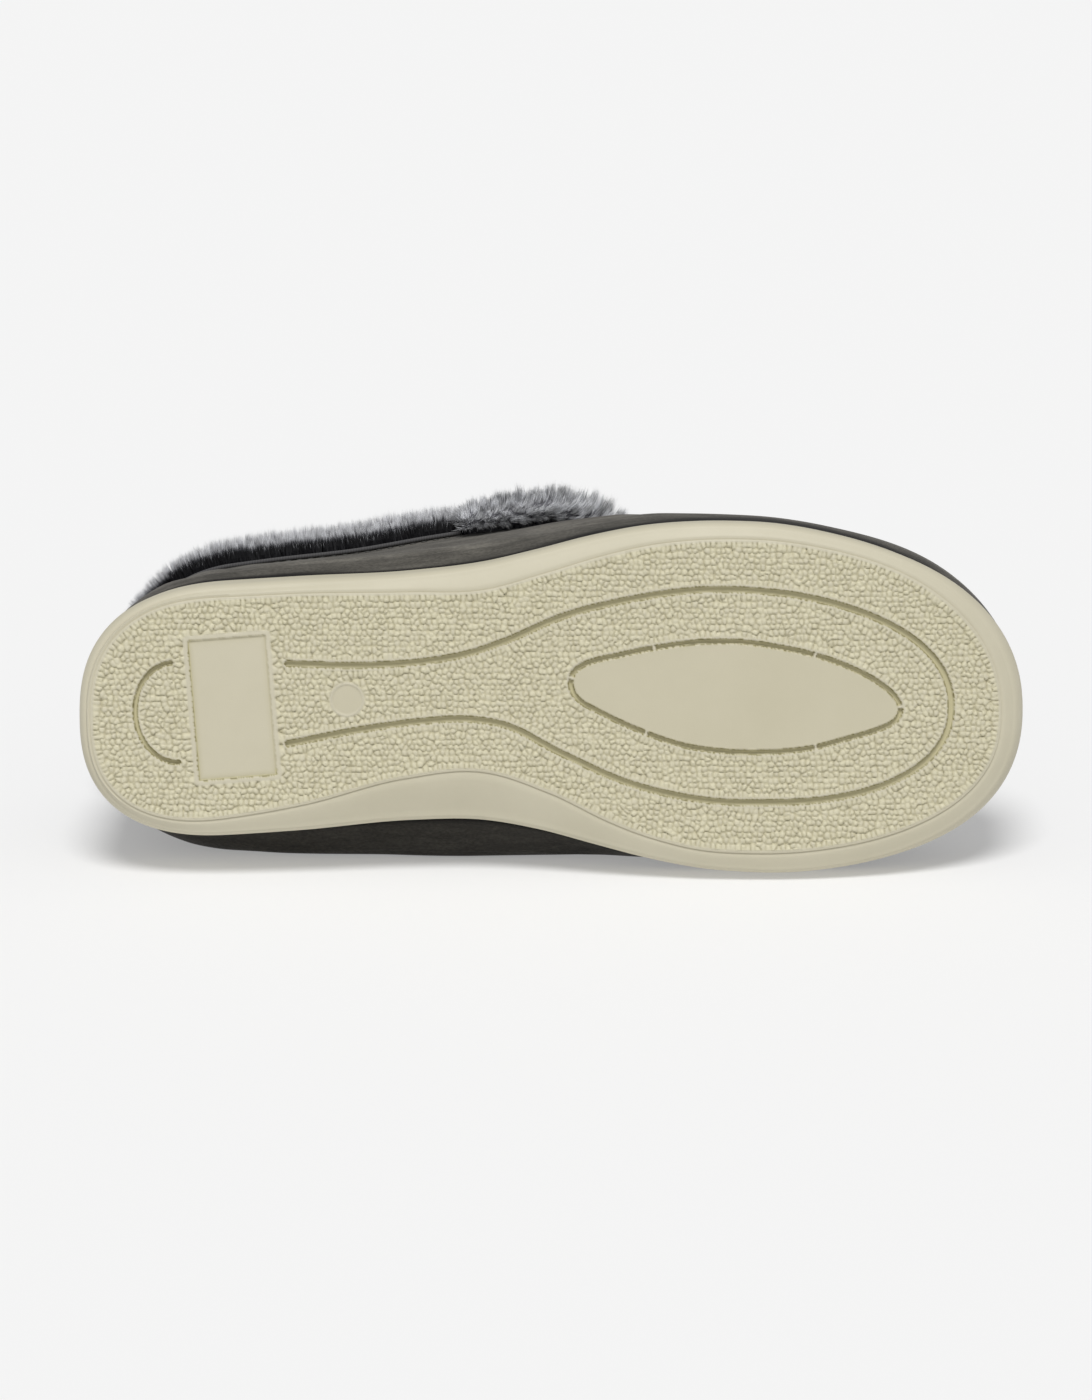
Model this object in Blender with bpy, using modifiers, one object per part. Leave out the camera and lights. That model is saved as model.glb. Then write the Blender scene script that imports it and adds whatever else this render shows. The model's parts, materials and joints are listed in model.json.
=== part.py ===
"""Closed-back slipper for the right foot, lying on its inner side.

Shoe frame, in millimetres: x runs from heel to toe, y to the inner side of the foot, z up from the tread.
Every piece is worked out there, lifted at the toe, pressed flat where the soft parts lie on the floor, and
then turned onto its side by one empty.
"""

import math
import random

import bmesh
import bpy
import numpy as np

MM = 0.001
GAP = 0.3
UP = np.array([0.0, 0.0, 1.0])

# Sole
SOLE_LENGTH = 258.0
BALL_WIDTH = 96.3
HEEL_ROUND = 41.0
HEEL_POWER = 2.45
TOE_ROUND = 77.0
TOE_POWER = 2.2
TOE_SPRING = 8.0
SPRING_START = 188.0
FIELD_STEP = 0.5
FIELD_DRAFT = 0.3
SHOULDER_INSET = 1.7
SHOULDER_RISE = 1.2
SIDE_ROUND = 2.4
ARCH_SLOPE = 0.5
BAND_NOMINAL = 5.5
TOP_BEVEL = 0.8
END_BLEND = 0.02

# Tread
GROOVE_DEPTH = 1.3
CUTTER_BELOW = 2.0
HORSESHOE_WIDTH = 1.5
HORSESHOE_FRONT = 238.7
HORSESHOE_ROUND = 59.0
HORSESHOE_POINTS = 27
LEAF_CENTRE = (179.5, -1.5)
LEAF_HALF_LENGTH = 45.3
LEAF_HALF_WIDTH = 15.3
LEAF_POWER = 1.8
LEAF_TURN = 4.3
LEAF_GROOVE_WIDTH = 1.6
LEAF_BRIDGE = 0.8
LEAF_BRIDGE_ANGLES = (0, 62, 118, 180, 242, 298, 360)
LEAF_POINTS = 11
HEEL_ARC_CENTRE = (26.5, 2.9)
HEEL_ARC_AXES = (11.2, 13.7)
HEEL_ARC_WIDTH = 1.2
HEEL_ARC_ANGLES = (92, 268)
HEEL_ARC_TURN = -4.0
HEEL_ARC_POINTS = 15
PLATE_CENTRE = (41.8, 1.7)
PLATE_SIZE = (21.7, 38.9)
PLATE_TURN = -4.5
PLATE_DEPTH = 0.8
RING_CENTRE = (73.2, -0.6)
RING_RADIUS = 4.1
RING_GROOVE_WIDTH = 0.8
RING_POINTS = 16

# Insole
INSOLE_INSET = 5.2
INSOLE_THICKNESS = 4.0
INSOLE_BEVEL = 1.0

# Upper
WALL = 2.4
BASE_INSET = 1.3
FOOT_PULL = 0.4
FLARE_LIMIT = math.radians(57.0)
RAND_HEIGHT = 0.6
RAND_PROUD = 0.6
TOPLINE_BACK = 8.0
TOPLINE_FRONT = 154.0
TOPLINE_BACK_ROUND = 31.0
TOPLINE_FRONT_ROUND = 33.0
TOPLINE_POWER = 2.2
NOTCH_ALONG = 0.655

# Binding and fur
BINDING_RADIUS = 1.1
BINDING_DROP = 1.6
BINDING_CLEAR = 0.4
BINDING_SIDES = 6
BINDING_OFF_FLOOR = 0.3
COLLAR_LOCK = 3.6
COLLAR_SEED = 3
CUFF_LOCK = 4.2
CUFF_SEED = 7
LOCK_SPREAD = 0.45
FUR_END = 0.45
FUR_END_LENGTH = 14.0
FUR_SEAM = 0.6
FUR_CLEAR = 0.8

# Lying on the floor
LEAN = math.radians(11.0)
PRESS_BLEND = 2.0

# Fineness of the faceting
COLUMNS = 80
INSOLE_COLUMNS = 48
WALL_ROWS = 11
SPRING_STATION = 8.0
TANGENT_STEP = 0.004
EDGE_RISES = np.linspace(2.0, 1.2, 25)


def table(names, *rows):
    return dict(zip(names.split(), np.array(rows, float).T))


# Outline of the sole: along as a share of the length, half as a share of half the ball width
SOLE_PLAN = table(
    "along centre half",
    (0.000, 4.4, 0.718),
    (0.120, 3.0, 0.718),
    (0.235, 1.2, 0.719),
    (0.350, -0.9, 0.710),
    (0.430, -2.2, 0.738),
    (0.485, -2.7, 0.797),
    (0.545, -2.7, 0.880),
    (0.600, -2.2, 0.946),
    (0.660, -1.3, 0.989),
    (0.720, -0.6, 1.000),
    (0.810, 0.6, 0.994),
    (0.910, 1.9, 0.996),
    (1.000, 3.5, 1.000),
)

# Sole thickness, and the smooth band around the tread field on the inner and the outer side
SOLE_SECTIONS = table(
    "along thick band_in band_out",
    (0.00, 20.5, 3.0, 3.0),
    (0.08, 20.5, 4.0, 2.9),
    (0.15, 20.3, 5.0, 3.4),
    (0.25, 19.2, 7.9, 3.9),
    (0.35, 17.5, 12.4, 5.1),
    (0.42, 16.4, 14.0, 6.9),
    (0.485, 15.3, 11.3, 6.3),
    (0.56, 14.3, 7.3, 5.5),
    (0.63, 13.6, 5.7, 4.8),
    (0.75, 13.0, 6.0, 4.3),
    (0.85, 12.6, 6.2, 4.0),
    (0.92, 12.4, 6.0, 4.4),
    (1.00, 12.2, 5.3, 5.3),
)

# Rounding of the sole's side, as shares of the shoulder inset and the side round
SIDE_PROFILE = table(
    "inset rise",
    (1.0, 0.0),
    (0.3, 0.5),
    (0.0, 1.6),
)

# The long horseshoe groove, from its open ends to the toe
HORSESHOE_PLAN = table(
    "along centre half",
    (0.215, 0.5, 11.0),
    (0.290, -1.0, 9.0),
    (0.365, -2.9, 8.2),
    (0.410, -4.2, 8.9),
    (0.450, -5.1, 11.4),
    (0.510, -4.6, 18.6),
    (0.580, -2.9, 25.0),
    (0.660, -1.9, 28.8),
    (0.740, -1.1, 29.1),
    (0.830, 0.3, 29.1),
    (0.930, 1.8, 29.1),
)

# Upper wall: how far it stands out past the sole, where, and how full its curve is
UPPER_SECTIONS = table(
    "along out_in out_out bulge lower_pull upper_pull",
    (0.00, -0.8, -0.8, 13.0, 0.50, 0.34),
    (0.09, 4.4, 1.4, 12.0, 0.50, 0.34),
    (0.18, 9.2, 2.8, 10.0, 0.48, 0.34),
    (0.30, 12.6, 4.0, 10.0, 0.46, 0.36),
    (0.42, 14.2, 4.5, 11.0, 0.45, 0.38),
    (0.50, 10.4, 3.4, 13.0, 0.44, 0.40),
    (0.58, 4.0, 2.4, 15.0, 0.42, 0.42),
    (0.68, -0.8, 0.9, 16.0, 0.38, 0.44),
    (0.80, -0.8, 1.0, 14.0, 0.32, 0.45),
    (0.91, -0.1, 1.3, 12.0, 0.27, 0.45),
    (1.00, 0.8, 0.8, 11.0, 0.24, 0.45),
)

# Where along the topline the wall above each place of the sole ends
WALL_RUN = table(
    "along top",
    (0.000, 0.000),
    (0.078, 0.076),
    (0.233, 0.338),
    (0.388, 0.593),
    (0.504, 0.752),
    (0.581, 0.834),
    (0.678, 0.910),
    (0.775, 0.959),
    (0.891, 0.990),
    (1.000, 1.000),
)

# Topline: plan, height and the inward lean of the wall on the inner and the outer side
TOPLINE = table(
    "along centre half height lean_in lean_out",
    (0.00, 3.2, 31.5, 67.0, 10.0, 10.0),
    (0.15, 0.8, 32.2, 62.5, 10.0, 6.0),
    (0.30, 0.1, 34.8, 58.5, 12.0, 2.0),
    (0.45, -0.9, 36.5, 57.0, 14.0, 0.0),
    (0.60, -2.6, 38.6, 57.2, 14.0, 0.0),
    (0.72, -3.8, 39.7, 59.5, 15.0, 3.0),
    (0.84, -3.8, 40.2, 64.0, 24.0, 18.0),
    (0.93, -2.6, 40.4, 70.5, 40.0, 38.0),
    (1.00, -1.0, 40.4, 78.0, 54.0, 54.0),
)

# Fur sections: out from the wall and up from the topline, around the wall's top edge
COLLAR_SECTION = table(
    "out up",
    (0.5, 0.5),
    (4.0, 1.2),
    (5.8, 5.0),
    (5.0, 9.6),
    (1.0, 12.4),
    (-4.2, 12.0),
    (-7.8, 8.0),
    (-8.8, 1.5),
    (-7.6, -5.5),
    (-5.2, -10.0),
    (-3.2, -10.0),
    (-3.2, 0.5),
)
CUFF_SECTION = table(
    "out up",
    (0.6, -11.0),
    (4.8, -13.0),
    (8.6, -9.5),
    (9.6, -3.5),
    (9.0, 3.5),
    (5.8, 8.5),
    (0.4, 10.8),
    (-5.0, 9.6),
    (-8.2, 5.0),
    (-8.8, -1.0),
    (-7.2, -7.0),
    (-5.2, -9.5),
    (-3.2, -9.5),
    (-3.2, 0.6),
    (0.6, 0.6),
)
COLLAR_FURRY = range(1, 9)
CUFF_FURRY = range(1, 11)
COLLAR_STATIONS = 46
CUFF_STATIONS = 36
BINDING_STATIONS = 60


def read(rows, column, along):
    """Smooth reading of one column of a table."""
    knots = rows["along"]
    values = rows[column]
    slopes = np.gradient(values, knots)
    along = np.clip(along, knots[0], knots[-1])
    cell = np.clip(np.searchsorted(knots, along) - 1, 0, len(knots) - 2)
    width = knots[cell + 1] - knots[cell]
    t = (along - knots[cell]) / width
    rise = t * t * (3 - 2 * t)
    lead = t * (1 - t) ** 2 * width * slopes[cell]
    trail = t * t * (1 - t) * width * slopes[cell + 1]
    return values[cell] * (1 - rise) + values[cell + 1] * rise + lead - trail


def rounded(distance, depth, power):
    """Share of the full width left at this distance from a rounded end."""
    u = np.clip(1 - distance / depth, 0, 1)
    return (1 - u**power) ** (1 / power)


def halves(turn):
    """Side of the foot and share of the way to the toe; turn 0 is the heel, 1 the toe, 2 the heel again."""
    turn = np.mod(turn, 2.0)
    side = np.where(turn <= 1, 1.0, -1.0)
    share = np.where(turn <= 1, turn, 2 - turn)
    return side, (1 - np.cos(np.pi * share)) / 2


def pick(side, inner, outer, along):
    """Blend from the inner to the outer value around both ends, so that the two sides meet."""
    near_end = np.clip(np.minimum(along, 1 - along) / END_BLEND, 0, 1)
    weight = 0.5 + 0.5 * side * near_end
    return inner * weight + outer * (1 - weight)


def sole_edge(turn):
    side, along = halves(turn)
    x = along * SOLE_LENGTH
    ends = rounded(x, HEEL_ROUND, HEEL_POWER) * rounded(SOLE_LENGTH - x, TOE_ROUND, TOE_POWER)
    half = read(SOLE_PLAN, "half", along) * BALL_WIDTH / 2 * ends
    return np.stack([x, read(SOLE_PLAN, "centre", along) + side * half], axis=-1)


def outward(turn, curve):
    """Unit normal of a closed plan curve."""
    run = curve(turn + TANGENT_STEP) - curve(turn - TANGENT_STEP)
    run /= np.linalg.norm(run, axis=-1, keepdims=True)
    return np.stack([-run[..., 1], run[..., 0]], axis=-1)


def sole_ring(turn, inset, z):
    plan = sole_edge(turn) - outward(turn, sole_edge) * np.reshape(inset, (-1, 1))
    return np.column_stack([plan, np.broadcast_to(z, len(turn))])


def thickness(turn):
    return read(SOLE_SECTIONS, "thick", halves(turn)[1])


def spring(x):
    """Rise of the whole shoe towards the toe."""
    ahead = np.clip((x - SPRING_START) / (SOLE_LENGTH - SPRING_START), 0, None)
    return TOE_SPRING * ahead**2


def lifted(points):
    points = np.array(points, float)
    points[..., 2] += spring(points[..., 0])
    return points


def floor_reach():
    """Height of the shoe frame over the floor: the sole's edge at the ball stands on it."""
    turn = np.linspace(0, 1, 400)
    edge = lifted(sole_ring(turn, np.zeros(400), thickness(turn) - TOP_BEVEL))
    return float(np.max(edge[:, 1] * math.cos(LEAN) + edge[:, 2] * math.sin(LEAN)))


def floor_limit(points):
    """How far to the inner side a point may lie before it goes through the floor."""
    return (FLOOR - points[..., 2] * math.sin(LEAN)) / math.cos(LEAN)


def pressed(points):
    """The soft wall lies flat, with a rounded onset, where it would go through the floor."""
    limit = floor_limit(points)
    y = points[..., 1]
    blend = np.clip(PRESS_BLEND - np.abs(y - limit), 0, None) / PRESS_BLEND
    points[..., 1] = np.minimum(y, limit) - blend**2 * PRESS_BLEND / 4
    return points


def off_floor(points, clear=0.0):
    points[..., 1] = np.minimum(points[..., 1], floor_limit(points) - clear)
    return points


FLOOR = floor_reach()


def topline(turn):
    """Plan and height of the wall's top edge, and how far the wall leans in there."""
    side, along = halves(turn)
    top = np.clip(read(WALL_RUN, "top", along), 0, 1)
    x = TOPLINE_BACK + top * (TOPLINE_FRONT - TOPLINE_BACK)
    ends = rounded(x - TOPLINE_BACK, TOPLINE_BACK_ROUND, TOPLINE_POWER)
    ends = ends * rounded(TOPLINE_FRONT - x, TOPLINE_FRONT_ROUND, TOPLINE_POWER)
    y = read(TOPLINE, "centre", top) + side * read(TOPLINE, "half", top) * ends
    lean = pick(side, read(TOPLINE, "lean_in", top), read(TOPLINE, "lean_out", top), top)
    return np.stack([x, y], axis=-1), read(TOPLINE, "height", top), np.radians(lean)


def topline_plan(turn):
    return topline(turn)[0]


def bezier(a, b, c, d, t):
    return a * (1 - t) ** 3 + 3 * b * t * (1 - t) ** 2 + 3 * c * t * t * (1 - t) + d * t**3


def wall(turn, rise):
    """Outer face of the upper: rise 0 to 1 from the sole to the widest place, 1 to 2 on to the topline."""
    side, along = halves(turn)
    level = np.zeros(len(turn))
    normal = np.column_stack([outward(turn, sole_edge), level])
    base_z = thickness(turn) + GAP
    proud = pick(side, read(UPPER_SECTIONS, "out_in", along), read(UPPER_SECTIONS, "out_out", along), along)
    bulge = read(UPPER_SECTIONS, "bulge", along)
    foot = sole_ring(turn, level + BASE_INSET, base_z)
    wide = sole_ring(turn, -proud, base_z + bulge)
    plan, height, lean = topline(turn)
    top = np.column_stack([plan, height])
    inward = -np.column_stack([outward(turn, topline_plan), level])
    arrive = inward * np.sin(lean)[:, None] + UP * np.cos(lean)[:, None]
    flare = np.clip(np.arctan2(proud + BASE_INSET, bulge), 0, FLARE_LIMIT)[:, None]
    leave = normal * np.sin(flare) + UP * np.cos(flare)
    reach = FOOT_PULL * np.linalg.norm(wide - foot, axis=1, keepdims=True)
    t = np.clip(rise, 0, 1)[:, None]
    below = bezier(foot, foot + leave * reach, wide - UP * reach, wide, t)
    lower = (read(UPPER_SECTIONS, "lower_pull", along) * (height - wide[:, 2]))[:, None]
    upper_pull = read(UPPER_SECTIONS, "upper_pull", along)[:, None]
    upper_pull = upper_pull * np.linalg.norm(top - wide, axis=1, keepdims=True)
    t = np.clip(rise - 1, 0, 1)[:, None]
    above = bezier(wide, wide + UP * lower, top - arrive * upper_pull, top, t)
    return pressed(lifted(np.where(rise[:, None] <= 1, below, above)))


def wall_frame(turn, rise):
    """Point of the wall, its outward unit normal and its upward unit run."""
    across = wall(turn + TANGENT_STEP, rise) - wall(turn - TANGENT_STEP, rise)
    higher = np.minimum(rise + TANGENT_STEP, 2.0)
    lower = np.maximum(rise - TANGENT_STEP, 0.0)
    above = wall(turn, higher) - wall(turn, lower)
    above /= np.linalg.norm(above, axis=1, keepdims=True)
    normal = np.cross(above, across)
    normal /= np.linalg.norm(normal, axis=1, keepdims=True)
    return wall(turn, rise), normal, above


def beside_wall(turns, outs, ups):
    """Rows of points around the wall's edge: out from its face, up from the topline or down the wall."""
    stations, count = outs.shape
    lines = wall(np.repeat(turns, len(EDGE_RISES)), np.tile(EDGE_RISES, stations)).reshape(stations, -1, 3)
    steps = np.linalg.norm(np.diff(lines, axis=1), axis=2)
    rise = np.empty((stations, count))
    for row, step in enumerate(steps):
        depth = np.concatenate([[0.0], np.cumsum(step)])
        rise[row] = np.interp(-ups[row], depth, EDGE_RISES)
    points, normal, above = wall_frame(np.repeat(turns, count), rise.ravel())
    points = points + normal * outs.reshape(-1, 1) + above * np.clip(ups.reshape(-1, 1), 0, None)
    return points.reshape(stations, count, 3)


def notch_turn():
    """Turn at which the cuff takes over from the collar."""
    turns = np.linspace(0, 1, 2000)
    tops = np.clip(read(WALL_RUN, "top", halves(turns)[1]), 0, 1)
    return float(np.interp(NOTCH_ALONG, tops, turns))


def even_turns(span, margin, count):
    """Turns at even steps along the topline, with a margin at both ends, and the distance of each."""
    turns = np.linspace(*span, 1200)
    plan, height, _ = topline(turns)
    line = np.column_stack([plan, height])
    run = np.concatenate([[0.0], np.cumsum(np.linalg.norm(np.diff(line, axis=0), axis=1))])
    marks = np.linspace(margin, run[-1] - margin, count)
    return np.interp(marks, run, turns), marks - margin


def skin(bm, rings, closed=True):
    """Quads between rings of equal length."""
    rows = [[bm.verts.new(point * MM) for point in ring] for ring in rings]
    count = len(rows[0])
    for lower, upper in zip(rows, rows[1:]):
        for i in range(count if closed else count - 1):
            j = (i + 1) % count
            bm.faces.new((lower[i], lower[j], upper[j], upper[i]))
    return rows


def strip_cap(bm, ring):
    """Closes a ring that runs heel, inner side, toe, outer side with strips across the foot."""
    count = len(ring)
    for i in range(count // 2):
        corners = [ring[i], ring[i + 1], ring[-i - 1], ring[-i]]
        if i == 0:
            corners = [ring[0], ring[1], ring[-1]]
        if i == count // 2 - 1:
            corners = [ring[i], ring[i + 1], ring[-i]]
        bm.faces.new(corners)


def new_object(name, bm, collection):
    bmesh.ops.recalc_face_normals(bm, faces=bm.faces[:])
    mesh = bpy.data.meshes.new(name)
    bm.to_mesh(mesh)
    bm.free()
    piece = bpy.data.objects.new(name, mesh)
    collection.objects.link(piece)
    return piece


def paint(piece, colour, roughness):
    material = bpy.data.materials.new(piece.name)
    material.use_nodes = True
    surface = material.node_tree.nodes["Principled BSDF"]
    surface.inputs["Base Color"].default_value = (*colour, 1)
    surface.inputs["Roughness"].default_value = roughness
    piece.data.materials.append(material)


def smooth(piece, sharp_angle):
    piece.data.shade_smooth()
    piece.data.set_sharp_from_angle(angle=math.radians(sharp_angle))


def tilted(points, centre, degrees):
    turn = math.radians(degrees)
    points = np.asarray(points)
    x = points[:, 0] * math.cos(turn) - points[:, 1] * math.sin(turn) + centre[0]
    y = points[:, 0] * math.sin(turn) + points[:, 1] * math.cos(turn) + centre[1]
    return np.column_stack([x, y])


def horseshoe_path():
    start = HORSESHOE_PLAN["along"][0] * SOLE_LENGTH
    share = np.sin(np.linspace(0, math.pi / 2, HORSESHOE_POINTS))
    x = start + (HORSESHOE_FRONT - start) * share
    half = read(HORSESHOE_PLAN, "half", x / SOLE_LENGTH)
    half = half * rounded(HORSESHOE_FRONT - x, HORSESHOE_ROUND, TOE_POWER)
    centre = read(HORSESHOE_PLAN, "centre", x / SOLE_LENGTH)
    inner = np.column_stack([x, centre + half])
    outer = np.column_stack([x, centre - half])
    return np.vstack([inner, outer[-2::-1]])


def leaf_paths():
    """The leaf's groove in six stretches, with a thin bridge left between them."""
    angles = np.linspace(0, 2 * math.pi, 721)
    x = LEAF_HALF_LENGTH * np.sign(np.cos(angles)) * np.abs(np.cos(angles)) ** (2 / LEAF_POWER)
    y = LEAF_HALF_WIDTH * np.sign(np.sin(angles)) * np.abs(np.sin(angles)) ** (2 / LEAF_POWER)
    line = tilted(np.column_stack([x, y]), LEAF_CENTRE, LEAF_TURN)
    run = np.concatenate([[0.0], np.cumsum(np.linalg.norm(np.diff(line, axis=0), axis=1))])
    bridges = np.interp(np.radians(LEAF_BRIDGE_ANGLES), angles, run)
    for first, last in zip(bridges, bridges[1:]):
        marks = np.linspace(first + LEAF_BRIDGE / 2, last - LEAF_BRIDGE / 2, LEAF_POINTS)
        yield np.column_stack([np.interp(marks, run, line[:, 0]), np.interp(marks, run, line[:, 1])])


def ellipse_path(centre, axes, span, count, degrees=0.0):
    angles = np.radians(np.linspace(*span, count))
    points = np.column_stack([axes[0] * np.cos(angles), axes[1] * np.sin(angles)])
    return tilted(points, centre, degrees)


def groove_cutter(name, path, width, closed=False):
    """A wall along the path, thickened to the groove's width."""
    bm = bmesh.new()
    low = [(x, y, -CUTTER_BELOW) for x, y in path]
    high = [(x, y, GROOVE_DEPTH) for x, y in path]
    skin(bm, np.array([low, high]), closed)
    cutter = new_object(name, bm, cutters)
    shell = cutter.modifiers.new("width", "SOLIDIFY")
    shell.thickness = width * MM
    shell.offset = 0
    cutter.hide_render = True
    cutter.display_type = "WIRE"
    return cutter


def plate_cutter():
    bm = bmesh.new()
    bmesh.ops.create_cube(bm, size=1)
    bmesh.ops.scale(bm, vec=(PLATE_SIZE[0] * MM, PLATE_SIZE[1] * MM, 2 * PLATE_DEPTH * MM), verts=bm.verts)
    cutter = new_object("plate_cutter", bm, cutters)
    cutter.location = (PLATE_CENTRE[0] * MM, PLATE_CENTRE[1] * MM, 0)
    cutter.rotation_euler.z = math.radians(PLATE_TURN)
    cutter.hide_render = True
    cutter.display_type = "WIRE"
    return cutter


def evaluated(piece):
    """The piece's mesh with its modifiers applied."""
    bpy.context.view_layer.update()
    graph = bpy.context.evaluated_depsgraph_get()
    return bpy.data.meshes.new_from_object(piece.evaluated_get(graph))


def outsole():
    turn = np.arange(COLUMNS) * 2 / COLUMNS
    side, along = halves(turn)
    band = pick(side, read(SOLE_SECTIONS, "band_in", along), read(SOLE_SECTIONS, "band_out", along), along)
    shoulder = FIELD_STEP + SHOULDER_RISE + ARCH_SLOPE * np.clip(band - BAND_NOMINAL, 0, None)
    thick = thickness(turn)
    flat = np.zeros(COLUMNS)
    rings = [
        sole_ring(turn, band, 0.0),
        sole_ring(turn, band - FIELD_DRAFT, FIELD_STEP),
    ]
    for inset, rise in zip(SIDE_PROFILE["inset"], SIDE_PROFILE["rise"]):
        rings.append(sole_ring(turn, flat + inset * SHOULDER_INSET, shoulder + rise * SIDE_ROUND))
    rings.append(sole_ring(turn, flat, thick - TOP_BEVEL))
    rings.append(sole_ring(turn, flat + TOP_BEVEL, thick))
    bm = bmesh.new()
    rows = skin(bm, rings)
    bm.faces.new(rows[0])
    strip_cap(bm, rows[-1])
    piece = new_object("outsole", bm, parts)
    arc = ellipse_path(HEEL_ARC_CENTRE, HEEL_ARC_AXES, HEEL_ARC_ANGLES, HEEL_ARC_POINTS, HEEL_ARC_TURN)
    ring = ellipse_path(RING_CENTRE, (RING_RADIUS, RING_RADIUS), (0, 360), RING_POINTS + 1)[:-1]
    tools = [
        groove_cutter("horseshoe_cutter", horseshoe_path(), HORSESHOE_WIDTH),
        groove_cutter("heel_arc_cutter", arc, HEEL_ARC_WIDTH),
        groove_cutter("ring_cutter", ring, RING_GROOVE_WIDTH, closed=True),
        plate_cutter(),
    ]
    for number, path in enumerate(leaf_paths(), 1):
        tools.append(groove_cutter(f"leaf_cutter_{number}", path, LEAF_GROOVE_WIDTH))
    for tool in tools:
        cut = piece.modifiers.new(tool.name, "BOOLEAN")
        cut.operation = "DIFFERENCE"
        cut.object = tool
    bm = bmesh.new()
    bm.from_mesh(evaluated(piece))
    piece.modifiers.clear()
    for x in np.arange(SPRING_START, SOLE_LENGTH, SPRING_STATION):
        everything = bm.verts[:] + bm.edges[:] + bm.faces[:]
        bmesh.ops.bisect_plane(bm, geom=everything, dist=1e-6, plane_co=(x * MM, 0, 0), plane_no=(1, 0, 0))
    for vert in bm.verts:
        vert.co.z += float(spring(vert.co.x / MM)) * MM
    bmesh.ops.triangulate(bm, faces=bm.faces[:])
    bm.to_mesh(piece.data)
    bm.free()
    paint(piece, (0.62, 0.57, 0.43), 0.6)
    smooth(piece, 35)
    return piece


def insole():
    turn = np.arange(INSOLE_COLUMNS) * 2 / INSOLE_COLUMNS
    level = thickness(turn) + GAP
    inset = np.full(INSOLE_COLUMNS, INSOLE_INSET)
    rings = [
        sole_ring(turn, inset, level),
        sole_ring(turn, inset, level + INSOLE_THICKNESS - INSOLE_BEVEL),
        sole_ring(turn, inset + INSOLE_BEVEL, level + INSOLE_THICKNESS),
    ]
    bm = bmesh.new()
    rows = skin(bm, [lifted(ring) for ring in rings])
    strip_cap(bm, rows[0])
    strip_cap(bm, rows[-1])
    piece = new_object("insole", bm, parts)
    paint(piece, (0.12, 0.12, 0.125), 0.95)
    smooth(piece, 50)
    return piece


def upper():
    turn = np.arange(COLUMNS) * 2 / COLUMNS
    rises = [0.0, RAND_HEIGHT, RAND_HEIGHT, *np.linspace(1, 2, WALL_ROWS)]
    rings = []
    for number, rise in enumerate(rises):
        proud = RAND_PROUD if number < 2 else 0.0
        points, normal, _ = wall_frame(turn, np.full(COLUMNS, rise))
        normal[:, 2] = 0
        rings.append(off_floor(points + normal * proud))
    bm = bmesh.new()
    skin(bm, rings)
    piece = new_object("upper", bm, parts)
    shell = piece.modifiers.new("wall", "SOLIDIFY")
    shell.thickness = WALL * MM
    shell.offset = -1
    paint(piece, (0.06, 0.058, 0.053), 0.9)
    smooth(piece, 60)
    return piece


def topline_binding(span):
    turns, _ = even_turns(span, FUR_SEAM, BINDING_STATIONS)
    angles = np.arange(BINDING_SIDES) * 2 * math.pi / BINDING_SIDES
    outs = np.tile(BINDING_CLEAR + BINDING_RADIUS * (1 + np.cos(angles)), (BINDING_STATIONS, 1))
    ups = np.tile(BINDING_RADIUS * np.sin(angles) - BINDING_DROP, (BINDING_STATIONS, 1))
    bm = bmesh.new()
    rows = skin(bm, off_floor(beside_wall(turns, outs, ups), BINDING_OFF_FLOOR))
    bm.faces.new(rows[0])
    bm.faces.new(rows[-1])
    piece = new_object("topline_binding", bm, parts)
    paint(piece, (0.03, 0.03, 0.031), 0.8)
    smooth(piece, 70)
    return piece


def shrunk(section, share):
    """The section drawn in towards the wall's edge, for the ends of a strip of fur."""
    out = section["out"]
    up = section["up"]
    near_out = np.where(out > 0, 0, -WALL - FUR_CLEAR)
    near_up = np.where(up > 0, up[-1], 0)
    return near_out + (out - near_out) * share, near_up + (up - near_up) * share


def fur(name, section, furry, span, stations, lock, seed):
    """A strip of fur around the wall's edge, with a pointed lock raised on each of its furry faces."""
    dice = random.Random(seed)
    turns, run = even_turns(span, FUR_SEAM, stations)
    end = np.minimum(np.minimum(run, run[-1] - run) / FUR_END_LENGTH, 1)
    share = FUR_END + (1 - FUR_END) * np.sqrt(1 - (1 - end) ** 2)
    sections = np.array([shrunk(section, size) for size in share])
    bm = bmesh.new()
    rows = skin(bm, off_floor(beside_wall(turns, sections[:, 0], sections[:, 1])))
    count = len(rows[0])
    bm.faces.new(rows[0])
    bm.faces.new(rows[-1])
    bmesh.ops.recalc_face_normals(bm, faces=bm.faces[:])
    bm.faces.ensure_lookup_table()
    for face in [bm.faces[station * count + i] for station in range(stations - 1) for i in furry]:
        size = lock * MM * (1 + LOCK_SPREAD * dice.uniform(-1, 1))
        tip = bmesh.ops.poke(bm, faces=[face], offset=size)["verts"][0]
        tip.co = off_floor(np.array(tip.co) / MM) * MM
    piece = new_object(name, bm, parts)
    paint(piece, (0.36, 0.36, 0.375), 1.0)
    return piece


for old in list(bpy.data.objects):
    bpy.data.objects.remove(old)
parts = bpy.data.collections.new("closed_back_slipper")
cutters = bpy.data.collections.new("cutters")
bpy.context.scene.collection.children.link(parts)
bpy.context.scene.collection.children.link(cutters)

notch = notch_turn()
around_back = (2 - notch, 2 + notch)
across_front = (notch, 2 - notch)
pieces = [
    outsole(),
    insole(),
    upper(),
    topline_binding(around_back),
    fur("fur_collar", COLLAR_SECTION, COLLAR_FURRY, around_back, COLLAR_STATIONS, COLLAR_LOCK, COLLAR_SEED),
    fur("fur_cuff", CUFF_SECTION, CUFF_FURRY, across_front, CUFF_STATIONS, CUFF_LOCK, CUFF_SEED),
]

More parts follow.
